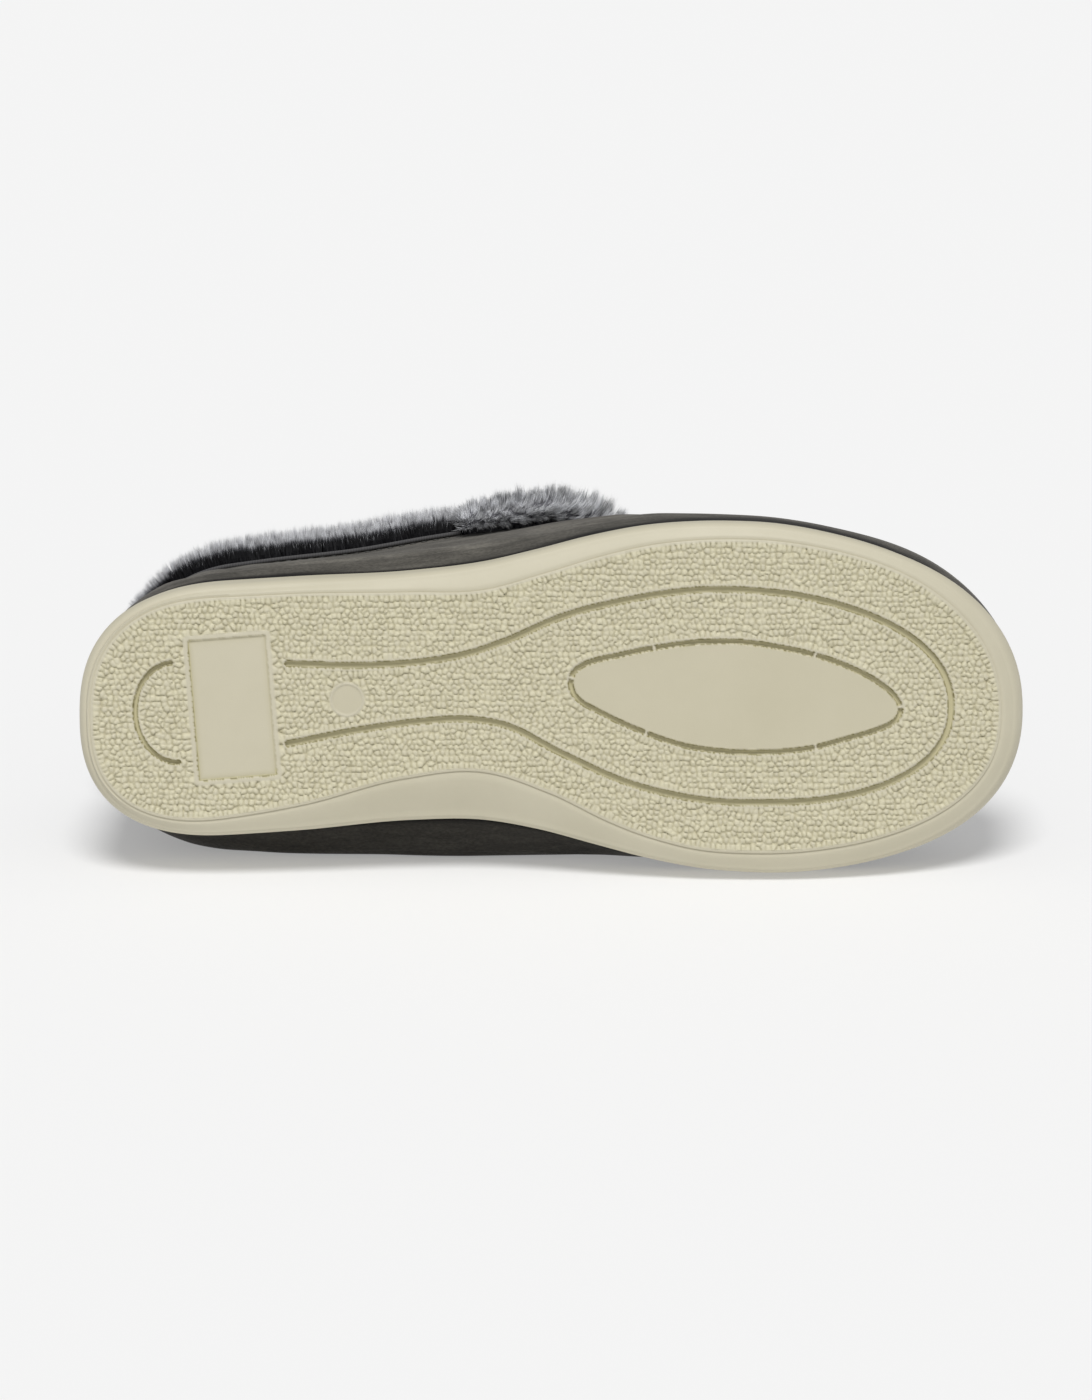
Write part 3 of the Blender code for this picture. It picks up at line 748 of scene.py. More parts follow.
field, fieldNormal = dense(fieldPath())
horseshoe, horseshoeNormal = dense(horseshoePath())
leaf, leafNormal = dense(leafPath())
heelArc, heelArcNormal = dense(arcPath())
grooves = [
    (horseshoe, horseshoeNormal, tread["horseshoeWidth"] / 2),
    (leaf, leafNormal, tread["leafWidth"] / 2),
    (heelArc, heelArcNormal, tread["arcWidth"] / 2),
]


def beside(path, normal, points):  # distance from a line of the tread, on the side its normals point to
    number, _ = nearest(path, points)
    return np.sum((points - path[number]) * normal[number], axis=1)


def insideField(points):
    return -beside(field, fieldNormal, points)


def insideLeaf(points):
    return beside(leaf, leafNormal, points)


def outsidePlate(points):  # distance outside the plate, negative inside
    local = np.abs(localTo(points, tread["plateCentre"], tread["plateTurn"]))
    over = local - np.array(tread["plateSize"]) / 2
    return np.where(over.max(axis=1) < 0, over.max(axis=1), np.linalg.norm(np.clip(over, 0, None), axis=1))


def outsideRing(points):
    return np.linalg.norm(points - np.array(tread["ringCentre"]), axis=1) - tread["ringRadius"]


def pebbleSeeds(dice):
    skip = int(tread["rowPitch"] / tread["step"])
    rows = [field[::skip] - fieldNormal[::skip] * (tread["margin"] + tread["edgeOffset"])]
    for path, normal, half in grooves:
        offset = half + tread["rowOffset"]
        rows += [path[::skip] + normal[::skip] * offset, path[::skip] - normal[::skip] * offset]
    rows = np.vstack(rows)
    rows = rows + dice.normal(0, tread["rowJitter"], rows.shape)
    pitch = tread["pebble"]
    across = np.arange(-tread["acrossField"], tread["acrossField"], pitch)
    x, y = np.meshgrid(np.arange(0, last["length"], pitch), across)
    x = x + dice.uniform(0, pitch, len(x))[:, None]
    inner = np.column_stack([x.ravel(), y.ravel()])
    inner = inner + dice.uniform(-tread["pebbleJitter"], tread["pebbleJitter"], inner.shape)
    inner = inner[nearest(rows, inner)[1] > pitch * tread["rowClear"]]
    seeds = np.vstack([rows, inner])
    keep = (insideField(seeds) > tread["margin"]) & (insideLeaf(seeds) < 0)
    keep &= (outsidePlate(seeds) > tread["plateRim"] + tread["plateClear"])
    keep &= outsideRing(seeds) > tread["ringClear"]
    for path, _, half in grooves:
        keep &= nearest(path, seeds)[1] > half + tread["grooveClear"]
    return seeds[keep]


def pebbleDepths(points):  # domed cells around the seeds; some of the crevices between them are shallow
    dice = np.random.default_rng(tread["seed"])
    seeds = pebbleSeeds(dice)
    tree = treeOf(seeds)
    found = [tree.find_n((x, y, 0), 2) for x, y in points]
    first = np.array([row[0][1] for row in found])
    second = np.array([row[1][1] for row in found])
    near = np.array([row[0][2] for row in found])
    far = np.array([row[1][2] for row in found])
    apart = np.linalg.norm(seeds[first] - seeds[second], axis=1)
    edge = (far**2 - near**2) / (2 * apart)
    chance = dice.uniform(0, 1, len(seeds))
    strength = softStep(0.1, 0.6, np.mod(chance[first] + chance[second], 1.0))
    strength = tread["weakCrevice"] + (1 - tread["weakCrevice"]) * strength
    uneven = dice.uniform(0, tread["pebbleUneven"], len(seeds))
    tilt = dice.normal(0, tread["pebbleTilt"], seeds.shape)
    depth = tread["pebbleDepth"] * strength * (1 - softStep(0, tread["crevice"], edge))
    depth = depth + tread["pebbleDome"] * (near / (tread["pebble"] / 2)) ** 2 + uneven[first]
    depth = depth + np.sum((points - seeds[first]) * tilt[first], axis=1)
    return np.clip(depth, 0, None), dice.uniform(*tread["tones"], len(seeds))[first]


def snapTo(points, distance, direction):  # moves the points that are next to an edge onto it
    close = np.abs(distance) < tread["cell"] * 0.5
    points[close] -= direction[close] * distance[close, None]
    return points


def snapGrid(points):
    for path, _, half in grooves:
        number, distance = nearest(path, points)
        direction = (points - path[number]) / np.maximum(distance, 1e-6)[:, None]
        points = snapTo(points, distance - half, direction)
    local = localTo(points, tread["plateCentre"], tread["plateTurn"])
    for axis in (0, 1):
        half = tread["plateSize"][axis] / 2
        other = np.abs(local[:, 1 - axis]) < tread["plateSize"][1 - axis] / 2 + tread["cell"]
        close = other & (np.abs(np.abs(local[:, axis]) - half) < tread["cell"] * 0.5)
        local[close, axis] = np.sign(local[close, axis]) * half
    return turnedBy(local, tread["plateCentre"], tread["plateTurn"])


def treadDepths(points):  # depth of each point, its painted shade, and the tone of its pebble
    depth, tone = pebbleDepths(points)
    inside = insideField(points)
    plate = outsidePlate(points)
    ring = outsideRing(points)
    inLeaf = insideLeaf(points)
    pebbled = softStep(tread["margin"] - 0.2, tread["margin"] + 0.3, inside)
    pebbled = pebbled * softStep(tread["plateRim"] - 0.2, tread["plateRim"] + 0.3, plate)
    pebbled = pebbled * softStep(0.5, 1.0, ring) * (inLeaf < 0)
    found = [nearest(path, points) for path, _, _ in grooves]
    for (_, _, half), (_, distance) in zip(grooves, found):
        pebbled = pebbled * softStep(tread["lip"] - 0.25, tread["lip"] + 0.25, distance - half)
    drop, dropWidth = tread["edgeDrop"]
    depth = depth * pebbled + drop * (1 - softStep(0, dropWidth, inside)) + tread["leafSink"] * (inLeaf > 0)
    # painted shade: deeper places are darker, in the crevices, the leaf panel, the plate, the ring and the
    # grooves
    sunk = np.clip(depth, 0, 0.6) * pebbled + tread["leafShade"] * (inLeaf > 0)
    tone = tone * pebbled
    inPlate = softStep(0, tread["wall"], -plate)
    depth = np.where(plate < 0, tread["plateDepth"] * inPlate, depth)
    local = localTo(points, tread["plateCentre"], tread["plateTurn"]) * 2 / np.array(tread["plateSize"])
    # the painted shade in the plate lies mostly along two of its edges
    corner = 0.4 + 0.6 * softStep(0.8, 0.98, np.maximum(-local[:, 0], local[:, 1]))
    plateEdgeShade = tread["plateShadeSoft"][0] * (1 - softStep(0.1, tread["plateShadeSoft"][1], -plate))
    plateEdgeShade = plateEdgeShade + tread["plateShadeLine"][0] * (1 - softStep(0.4, tread["plateShadeLine"][1], -plate))
    sunk = np.where(plate < 0, tread["plateShade"] + corner * plateEdgeShade, sunk)
    onRing = 1 - softStep(tread["ringWidth"] / 4, tread["ringWidth"] / 2 + 0.15, np.abs(ring - 0.3))
    depth = np.where(ring < tread["ringBare"], tread["ringDepth"] * (1 - onRing), depth)
    sunk = np.where(ring < tread["ringBare"], tread["ringShade"] * (1 - onRing), sunk)
    bridges = np.array(tread["leafBridges"])
    for (path, normal, half), (number, distance) in zip(grooves, found):
        full = np.full(len(points), tread["grooveDepth"])
        if path is leaf:
            bridge, reach = nearest(bridges, points)
            ahead = np.column_stack([normal[number][:, 1], -normal[number][:, 0]])
            along = np.abs(np.sum((points - bridges[bridge]) * ahead, axis=1))
            onBridge = (reach < tread["bridgeReach"]) & (along < tread["leafBridge"] / 2)
            full = np.where(onBridge, tread["bridgeDepth"], full)
        groove = distance <= half
        depth = np.where(groove, full * softStep(0, tread["wall"], half - distance), depth)
        shade = tread["grooveShade"][0] + tread["grooveShade"][1] * (1 - softStep(0.2, 0.5, half - distance))
        sunk = np.where(groove, np.where(full > 1, shade, tread["bridgeShade"]), sunk)
        tone = np.where(groove, 0, tone)
    return depth, sunk, tone


def makeTread():
    cell = tread["cell"]
    low = field.min(axis=0) - cell
    size = field.max(axis=0) + cell - low
    counts = np.ceil(size / cell).astype(int)
    bm = bmesh.new()
    bmesh.ops.create_grid(bm, x_segments=int(counts[0]), y_segments=int(counts[1]), size=0.5)
    bmesh.ops.translate(bm, vec=(0.5, 0.5, 0), verts=bm.verts[:])
    bmesh.ops.scale(bm, vec=(*size, 1), verts=bm.verts[:])
    bmesh.ops.translate(bm, vec=(*low, 0), verts=bm.verts[:])
    plan = np.array([vert.co.xy for vert in bm.verts])
    outside = insideField(plan) < -cell * 0.5
    bmesh.ops.delete(bm, geom=[vert for vert, gone in zip(bm.verts[:], outside) if gone], context="VERTS")
    plan = np.array([vert.co.xy for vert in bm.verts])
    border = np.array([vert.is_boundary for vert in bm.verts])
    plan[border] = field[nearest(field, plan[border])[0]]
    plan = snapGrid(plan)
    depth, sunk, tone = treadDepths(plan)
    sunkLayer = bm.verts.layers.float.new("sunk")
    toneLayer = bm.verts.layers.float.new("tone")
    for number, vert in enumerate(bm.verts):
        vert.co = (*plan[number], depth[number])
        vert[sunkLayer] = sunk[number]
        vert[toneLayer] = tone[number]
    mesh = meshOf("tread_field", bm)
    for name, side in (("outsole_tread_heel", 1), ("outsole_tread_ball", -1)):
        half = bmesh.new()
        half.from_mesh(mesh)
        gone = [face for face in half.faces if side * (face.calc_center_median().x - tread["split"]) > 0]
        bmesh.ops.delete(half, geom=gone, context="FACES")
        closeTread(half)
        putPiece(name, half, solePaint, "sole_rubber", "outsole")
    bpy.data.meshes.remove(mesh)


def closeTread(bm):  # a skirt and a back behind the field, then the lift at the toe
    edges = [edge for edge in bm.edges if edge.is_boundary]
    for edge in edges:
        edge.smooth = False
    grown = bmesh.ops.extrude_edge_only(bm, edges=edges)["geom"]
    for vert in grown:
        if isinstance(vert, bmesh.types.BMVert):
            vert.co.z = tread["slab"]
    closeHoles(bm)
    for vert in bm.verts:
        vert.co.z += float(spring(vert.co.x))


makeTread()

# dark grey suede of the upper, with a soft nap and paler streaks along the foot
suede = {
    "dark": srgb(76, 74, 69),
    "mid": srgb(97, 94, 88),
    "pale": srgb(121, 118, 110),
    "randAndShade": srgb(26, 25, 24),
    "sheen": 0.12,
    "streaks": 240.0,
    "nap": 1900.0,
    "fibre": 5200.0,
}


def upperSuede():
    sockets = {"Roughness": 0.92, "Specular IOR Level": 0.2}
    sockets.update({"Sheen Weight": suede["sheen"], "Sheen Roughness": 0.45})
    material, tree = startMaterial("upper_suede", sockets)
    streaks = noiseOf(tree, objectPlace(tree, (0.16, 1.0, 1.0)), suede["streaks"], 6.0, 0.68)
    nap = noiseOf(tree, objectPlace(tree, (0.5, 1.0, 1.0)), suede["nap"], 3.0, 0.6)
    fibre = noiseOf(tree, objectPlace(tree), suede["fibre"], 2.0)
    stops = [(0.3, suede["dark"]), (0.52, suede["mid"]), (0.75, suede["pale"])]
    colour = rampOf(tree, streaks, stops)
    # the rand's own dark colour, also used for painted shade along the sole's edge and low on the inner side
    randAndShade = layerOf(tree, "randAndShade")
    colour = mixOf(tree, randAndShade, colour, suede["randAndShade"])
    speck = rampOf(tree, nap, greys((0.3, 0.72), (0.7, 1.2)))
    normal = bumpOf(tree, fibre, 0.25, 0.0002, bumpOf(tree, nap, 0.35, 0.0004))
    return wire(material, mixOf(tree, 1.0, colour, speck, "MULTIPLY"), normal)


suedePaint = upperSuede()

# the hollow upper: a low rand, the wall and its inside, with creases placed one by one
upperForm = {
    "columns": 400,
    "randRise": 0.6,
    "randProud": 0.6,
    "randProfile": (  # shares of its rise and of how far it stands proud
        (0.0, 1), (0.12, 1), (0.2, 1), (0.32, 1), (0.5, 1), (0.75, 1), (0.93, 1),
        (0.985, 0.75), (1, 0.25), (1.02, 0),
    ),
    "randShade": 0.3,
    "footDark": (0.2, 0.34),
    "gapShadowLine": 0.55,
    "gapShadowHigh": 0.45,  # share of the rand that the painted shadow of the gap under the sole's edge covers, except around the outer toe
    "gapShadowToe": (0.8, 1.0, 1.25, 1.6),
    "gapShadowSoft": 0.14,
    "innerShade": 0.7,  # painted shade low on the inner side, where the upper lies towards the floor
    "innerSpan": (0.02, 0.12, 0.55, 0.7),
    "innerFade": (0.7, 1.3),
    "lowerRows": 8,
    "upperRows": 44,
    "insideRows": 20,
    "ridge": (2.1, 0.4),  # place and height of the ridge beside a trough
    "creaseFoot": 6.0,
    "creaseTop": 12.0,
    "bowHalf": 40.0,
    "vampHalf": (24.0, 38.0),
    "sideBlend": 16.0,
    "waveEnd": 20.0,
    "creases": columns(
        "x slant lean bow width depth low high side",
        (171.0, 0.05, 0.00, -3.0, 3.4, 0.85, 40.0, 58.0, 0),
        (182.0, -0.04, 0.00, -4.0, 3.0, 0.70, 38.0, 54.0, 0),
        (195.0, 0.03, 0.00, -5.0, 3.6, 0.55, 36.0, 48.0, 0),
        (148.0, 0.00, 0.55, 0.0, 4.0, 0.20, 26.0, 40.0, -1),
        (128.0, 0.00, 0.35, 0.0, 5.0, 0.50, 26.0, 36.0, -1),
        (44.0, 0.00, -0.45, 0.0, 4.0, 0.50, 30.0, 44.0, -1),
        (30.0, 0.00, -0.35, 0.0, 3.6, 0.45, 30.0, 44.0, -1),
        (46.0, 0.00, -0.45, 0.0, 4.2, 0.50, 30.0, 44.0, 1),
    ),
    "waves": columns(
        "z slope width depth back front side",
        (39.0, -0.02, 5.0, 0.55, 40.0, 150.0, -1),
        (49.0, 0.01, 4.0, 0.35, 60.0, 130.0, -1),
        (33.0, 0.02, 3.5, 0.30, 90.0, 170.0, -1),
    ),
}


def trough(distance, width, depth):  # a soft trough with a low ridge on both sides
    aside, height = upperForm["ridge"]
    d = distance / width
    ridge = np.exp(-((np.abs(d) - aside) ** 2))
    return depth * (height * ridge - np.exp(-(d**2)))


def creaseMoves(points):
    x, y, z = points[:, 0], points[:, 1], points[:, 2]
    move = np.zeros(len(points))
    size = upperForm
    for x0, slant, lean, bow, width, depth, low, high, side in zip(*size["creases"].values()):
        line = x0 + slant * y + lean * (z - low) + bow * (y / size["bowHalf"]) ** 2
        mask = softStep(low - size["creaseFoot"], low + size["creaseFoot"], z)
        if side:
            mask = mask * softStep(0, size["sideBlend"], side * y)
            mask = mask * (1 - softStep(high, high + size["creaseTop"], z))
        else:
            mask = mask * (1 - softStep(*size["vampHalf"], np.abs(y)))
        move += mask * trough(x - line, width, depth)
    end = size["waveEnd"]
    for z0, slope, width, depth, back, front, side in zip(*size["waves"].values()):
        mask = between((back - end, back + end, front - end, front + end), x)
        mask = mask * softStep(0, size["sideBlend"], side * y)
        move += mask * trough(z - z0 - slope * (x - back), width, depth)
    return move


def makeUpper():
    size = upperForm
    turn = np.linspace(0, 2, size["columns"] + 1)
    rise = size["randRise"]
    rows = [(share * rise, part * size["randProud"]) for share, part in size["randProfile"]]
    rows += [(share, 0.0) for share in np.linspace(rise, 1, size["lowerRows"])[1:]]
    rows += [(share, 0.0) for share in np.linspace(1, 2, size["upperRows"])[1:]]
    rows += [(share, -wallShape["thick"]) for share in np.linspace(2, 0, size["insideRows"])]
    rows.append(rows[0])
    grid = []
    for share, out in rows:
        points, normal, _ = wallFrame(turn, np.full(len(turn), share))
        if out > 0:
            normal[:, 2] = 0
        move = creaseMoves(points) * (out <= 0)
        grid.append(offFloor(points + normal * (out + move)[:, None]))
    grid = np.array(grid)
    # the rand's own dark tone, darkest at its foot, with painted shadow where the wall lies close to or under
    # the sole's edge, widest around the outer toe
    beyond = np.sum((grid[:, :, :2] - soleEdge(turn)) * outward(turn, soleEdge), axis=2)
    outer = np.array([out for _, out in rows])[:, None] > 0
    shares = np.array([share for share, _ in rows])[:, None]
    toe = between(size["gapShadowToe"], turn)
    high = size["gapShadowHigh"] + (1 - size["gapShadowHigh"]) * toe
    dark = 1 - softStep(size["gapShadowLine"] * (0.6 - 0.3 * toe), size["gapShadowLine"] * (1 + 1.2 * toe), beyond)
    dark = dark * (1 - softStep(high - size["gapShadowSoft"], high + size["gapShadowSoft"], shares / rise))
    dark = np.maximum(dark, size["randShade"])
    dark = np.maximum(dark, 1 - softStep(*size["footDark"], shares / rise)) * outer
    # painted shade low on the inner side
    low = 1 - softStep(*size["innerFade"], shares)
    dark = np.maximum(dark, size["innerShade"] * low * between(size["innerSpan"], turn))
    bm = loft(grid, "randAndShade", dark)
    return putPiece("upper_wall", bm, suedePaint, "upper_suede", "upper", sharp=65)


makeUpper()

# fleece of the lining and the insole
fleece = {"dark": srgb(58, 58, 61), "pale": srgb(122, 122, 126), "curl": 620.0}


def greyFleece():
    sockets = {"Roughness": 1.0, "Specular IOR Level": 0.1, "Sheen Weight": 0.4, "Sheen Roughness": 0.6}
    material, tree = startMaterial("grey_fleece", sockets)
    vector = objectPlace(tree)
    curl = noiseOf(tree, vector, fleece["curl"], 3.0, 0.65)
    fine = noiseOf(tree, vector, fleece["curl"] * 4, 2.0)
    colour = rampOf(tree, curl, [(0.32, fleece["dark"]), (0.68, fleece["pale"])])
    return wire(material, colour, bumpOf(tree, fine, 0.4, 0.0005, bumpOf(tree, curl, 0.8, 0.0016)))


fleecePaint = greyFleece()

liningForm = {
    "columns": 240,
    "rows": 26,
    "low": 0.12,
    "high": 1.97,
    "back": 2.7,
    "face": 3.8,
    "tuck": 7.5,
    "tuckRise": (0.8, 1.8),
}


def makeLining():
    size = liningForm
    turn = np.linspace(0, 2, size["columns"] + 1)
    rises = np.linspace(size["low"], size["high"], size["rows"])
    rows = [(rise, size["face"]) for rise in rises] + [(rise, size["back"]) for rise in rises[::-1]]
    inset = np.full(len(turn), size["tuck"])
    tucked = [lifted(soleRing(turn, inset, thickness(turn) + up)) for up in size["tuckRise"]]
    grid = tucked[1:]
    for rise, depth in rows:
        points, normal, _ = wallFrame(turn, np.full(len(turn), rise))
        grid.append(points - normal * depth)
    grid += tucked
    return putPiece("fleece_lining", loft(np.array(grid)), fleecePaint, "insole_fleece", sharp=60)


makeLining()

insoleForm = {"columns": 240, "inset": 5.2, "thick": 4.0, "bevel": 1.0, "crown": 0.7}


def makeInsole():
    size = insoleForm
    turn = np.linspace(0, 2, size["columns"] + 1)
    level = thickness(turn) + last["gap"]
    inset = np.full(len(turn), size["inset"])
    top = level + size["thick"]

    def ring(pull, z):
        return soleRing(turn, pull, z)

    bed = ring(inset, level)
    rows = [inward(turn, bed, share) for share in (0.0, 0.4)]
    rows += [bed, ring(inset, top - size["bevel"])]
    rows += bevelRows(ring, inset, top, size["bevel"], 5)
    edge = ring(inset + size["bevel"], top)
    for share in (0.92, 0.75, 0.5, 0.25, 0.0):
        row = inward(turn, edge, share)
        row[:, 2] += size["crown"] * (1 - share**3)
        rows.append(row)
    bm = loft(lifted(np.array(rows)))
    piece = putPiece("insole_sock", bm, fleecePaint, "insole_fleece", "insole", sharp=60)
    return piece


makeInsole()

# folded tape around the topline, and the stitches that hold it
binding = {
    "stations": 300,
    "sides": 12,
    "radius": 0.6,
    "drop": 2.3,
    "clear": 0.3,
    "seam": 0.1,
    "stitchPitch": 3.2,
    "stitchDrop": 4.4,
    "stitchSize": (1.05, 0.26, 0.2),
    "weave": 700.0,
    "twist": 1200.0,
    "tape": srgb(58, 57, 58),
    "tapePale": srgb(86, 85, 86),
    "thread": srgb(76, 75, 71),
}


def bindingTape():
    material, tree = startMaterial("binding_tape", {"Roughness": 0.8, "Sheen Weight": 0.2})
    inputs = {"Vector": objectPlace(tree), "Scale": binding["weave"], "Distortion": 1.5}
    weave = addNode(tree, "ShaderNodeTexWave", inputs)
    colour = rampOf(tree, weave.outputs["Fac"], [(0.2, binding["tape"]), (0.9, binding["tapePale"])])
    return wire(material, colour, bumpOf(tree, weave.outputs["Fac"], 0.3, 0.0002))


def stitchThread():
    material, tree = startMaterial("stitch_thread", {"Roughness": 0.7, "Sheen Weight": 0.2})
    vector = objectPlace(tree, (1.0, 1.0, 2.0))
    twist = addNode(tree, "ShaderNodeTexWave", {"Vector": vector, "Scale": binding["twist"]})
    shade = rampOf(tree, twist.outputs["Fac"], greys((0.0, 0.55), (1.0, 1.1)))
    return wire(material, mixOf(tree, 1.0, binding["thread"], shade, "MULTIPLY"))


def makeBinding():
    turns, _ = evenTurns(aroundBack, binding["seam"], binding["stations"])
    angles = np.linspace(0, 2 * math.pi, binding["sides"] + 1)
    outs = np.tile(binding["clear"] + binding["radius"] * (1 + np.cos(angles)), (len(turns), 1))
    ups = np.tile(binding["radius"] * np.sin(angles) - binding["drop"], (len(turns), 1))
    points, _ = besideWall(turns, outs, ups)
    bm = closeHoles(loft(offFloor(points)))
    return putPiece("binding_tape", bm, bindingTape(), "binding_tape", "topline_binding", sharp=70)


def makeStitches():
    _, run = evenTurns(aroundBack, binding["seam"], 2)
    count = int(run[-1] / binding["stitchPitch"])
    turns, _ = evenTurns(aroundBack, binding["seam"] + 1, count)
    outs = np.full((count, 1), 0.1)
    points, normals = besideWall(turns, outs, outs - binding["stitchDrop"])
    ahead = np.gradient(points[:, 0], axis=0)
    bm = bmesh.new()
    for point, along, normal in zip(points[:, 0], ahead, normals[:, 0]):
        along = Vector(along).normalized()
        across = Vector(normal).cross(along).normalized()
        turned = Matrix((along, across, along.cross(across))).transposed().to_4x4()
        turned.translation = Vector(point)
        bmesh.ops.create_uvsphere(bm, u_segments=6, v_segments=4, radius=1.0,
                                  matrix=turned @ Matrix.Diagonal((*binding["stitchSize"], 1.0)))
    return putPiece("binding_stitches", bm, stitchThread(), "binding_tape")


makeBinding()
makeStitches()

# grey pile, near black at its base and pale at its tips; the dark base is partly the pile's own colour,
# partly painted shade deep in the pile
pile = {
    "base": srgb(22, 22, 25),
    "middle": srgb(88, 88, 93),
    "body": srgb(214, 215, 219),
    "tip": srgb(248, 249, 251),
    "backing": srgb(20, 20, 22),
    "backingCrest": srgb(120, 120, 125),
    "tufts": 900.0,
}


def furPile(name, dull, bright, through):  # the strands' tones, and the share of light they let through
    material, tree = startMaterial(name, {"Roughness": 0.62, "Specular IOR Level": 0.25})
    uv = addNode(tree, "ShaderNodeUVMap", uv_map="strand").outputs["UV"]
    parts = addNode(tree, "ShaderNodeSeparateXYZ", {"Vector": uv})
    stops = [(0.56, pile["base"]), (0.68, pile["middle"]), (0.79, pile["body"]), (0.95, pile["tip"])]
    colour = rampOf(tree, parts.outputs["Y"], stops)
    tone = rampOf(tree, parts.outputs["X"], greys((0.1, dull), (0.9, bright)))
    colour = mixOf(tree, 1.0, colour, tone, "MULTIPLY")
    front = tree.nodes["Principled BSDF"].outputs["BSDF"]
    back = addNode(tree, "ShaderNodeBsdfTranslucent", {"Color": colour}).outputs["BSDF"]
    both = addNode(tree, "ShaderNodeMixShader", {0: through, 1: front, 2: back})
    tree.links.new(both.outputs["Shader"], tree.nodes["Material Output"].inputs["Surface"])
    return wire(material, colour)


# near black backing, painted shade deep in the pile, paler over the crest
def pileBacking():
    material, tree = startMaterial("pile_backing", {"Roughness": 0.95, "Specular IOR Level": 0.1})
    tufts = noiseOf(tree, objectPlace(tree), pile["tufts"], 3.0)
    crest = layerOf(tree, "crest")
    colour = mixOf(tree, crest, pile["backing"], pile["backingCrest"])
    shade = rampOf(tree, tufts, greys((0.3, 0.5), (0.75, 1.3)))
    return wire(material, mixOf(tree, 1.0, colour, shade, "MULTIPLY"), bumpOf(tree, tufts, 0.8, 0.001))


collarPaint = furPile("collar_pile", 0.42, 1.2, 0.15)
cuffPaint = furPile("cuff_pile", 0.22, 1.45, 0.2)
backingPaint = pileBacking()

collarFur = {
    "node": "fur_collar",
    "slot": "collar_fur",
    "span": aroundBack,
    "stations": 240,
    "endShare": 0.9,
    "endLength": 6.0,
    "swell": (0.0, 26.0, 14.0),
    "tuck": 0.3,  # less pile at the outer corner of the heel
    "roll": 0.0,
    "hub": (0.6, 0.7, 0.0),
    "core": 0.55,
    "crest": (0.12, 0.4),  # where the backing turns pale; below it the near black backing is painted shade
    "section": columns(
        "out up",
        (4.4, -2.2), (6.3, 0.6), (6.8, 4.6), (5.4, 9.6), (1.0, 12.4), (-4.2, 12.0),
        (-7.8, 8.0), (-8.8, 1.5), (-7.6, -5.5), (-5.2, -10.0),
    ),
    "strands": 170000,
    "outerBias": 1.4,
    "lockPitch": 1.9,
    "lockReach": (2.9, 3.3),
    "lockTone": 0.4,
    "clump": 0.2,
    "stray": 0.3,
    "sway": 0.3,
    "short": 0.22,
    "shade": (0.0, 0.58),  # where the roots start on the pile's colours, on the outer and the inner face; the darker outer roots are painted shade
    "seed": 3,
}
cuffFur = {
    "node": "fur_cuff",
    "slot": "cuff_fur",
    "span": acrossFront,
    "stations": 220,
    "endShare": 0.4,
    "endLength": 24.0,
    "swell": (0.85, 150.0, 21.0),  # more pile halfway along the outer side
    "tuck": 0.0,
    "roll": 1.0,  # the strands of the outer face stand around a rolled edge
    "hub": (3.0, -3.5, 0.25),
    "core": 0.68,
    "crest": (-0.4, 0.2),
    "section": columns(
        "out up",
        (1.6, -11.4), (4.6, -13.0), (7.8, -9.8), (8.7, -3.5), (8.3, 3.5), (5.6, 8.5),
        (0.4, 10.8), (-5.0, 9.6), (-8.2, 5.0), (-8.8, -1.0), (-7.2, -7.0), (-5.2, -9.5),
    ),
    "strands": 190000,
    "outerBias": 1.25,
    "lockPitch": 2.1,
    "lockReach": (2.0, 2.6),
    "lockTone": 0.5,
    "clump": 0.34,
    "stray": 0.5,
    "sway": 0.6,
    "short": 0.25,
    "shade": (0.59, 0.62),
    "seed": 7,
}
# what both furs share
strand = {
    "seam": 0.1,
    "edge": (-3.1, 0.6, 0.7),  # inner and outer face of the wall's edge, and its top
    "splay": 2.0,
    "splayRun": 5.0,
    "pieces": 2,
    "halfWidth": 0.11,
    "lockJitter": 0.45,
    "shortest": 0.5,
    "longFrom": 0.88,
    "turnedAside": 0.3,
    "sectionPoints": 48,
    "rollFrom": (-2.0, 3.0),
    "outerBlend": 14.0,
    "heelCorner": (10.0, 36.0),
    "splayShare": (0.2, 1.2),
    "widthShare": (0.7, 1.3),
    "shadeTurn": (0.36, 0.6),  # where a section passes from its outer to its inner face
}
sectionPoints = strand["sectionPoints"]


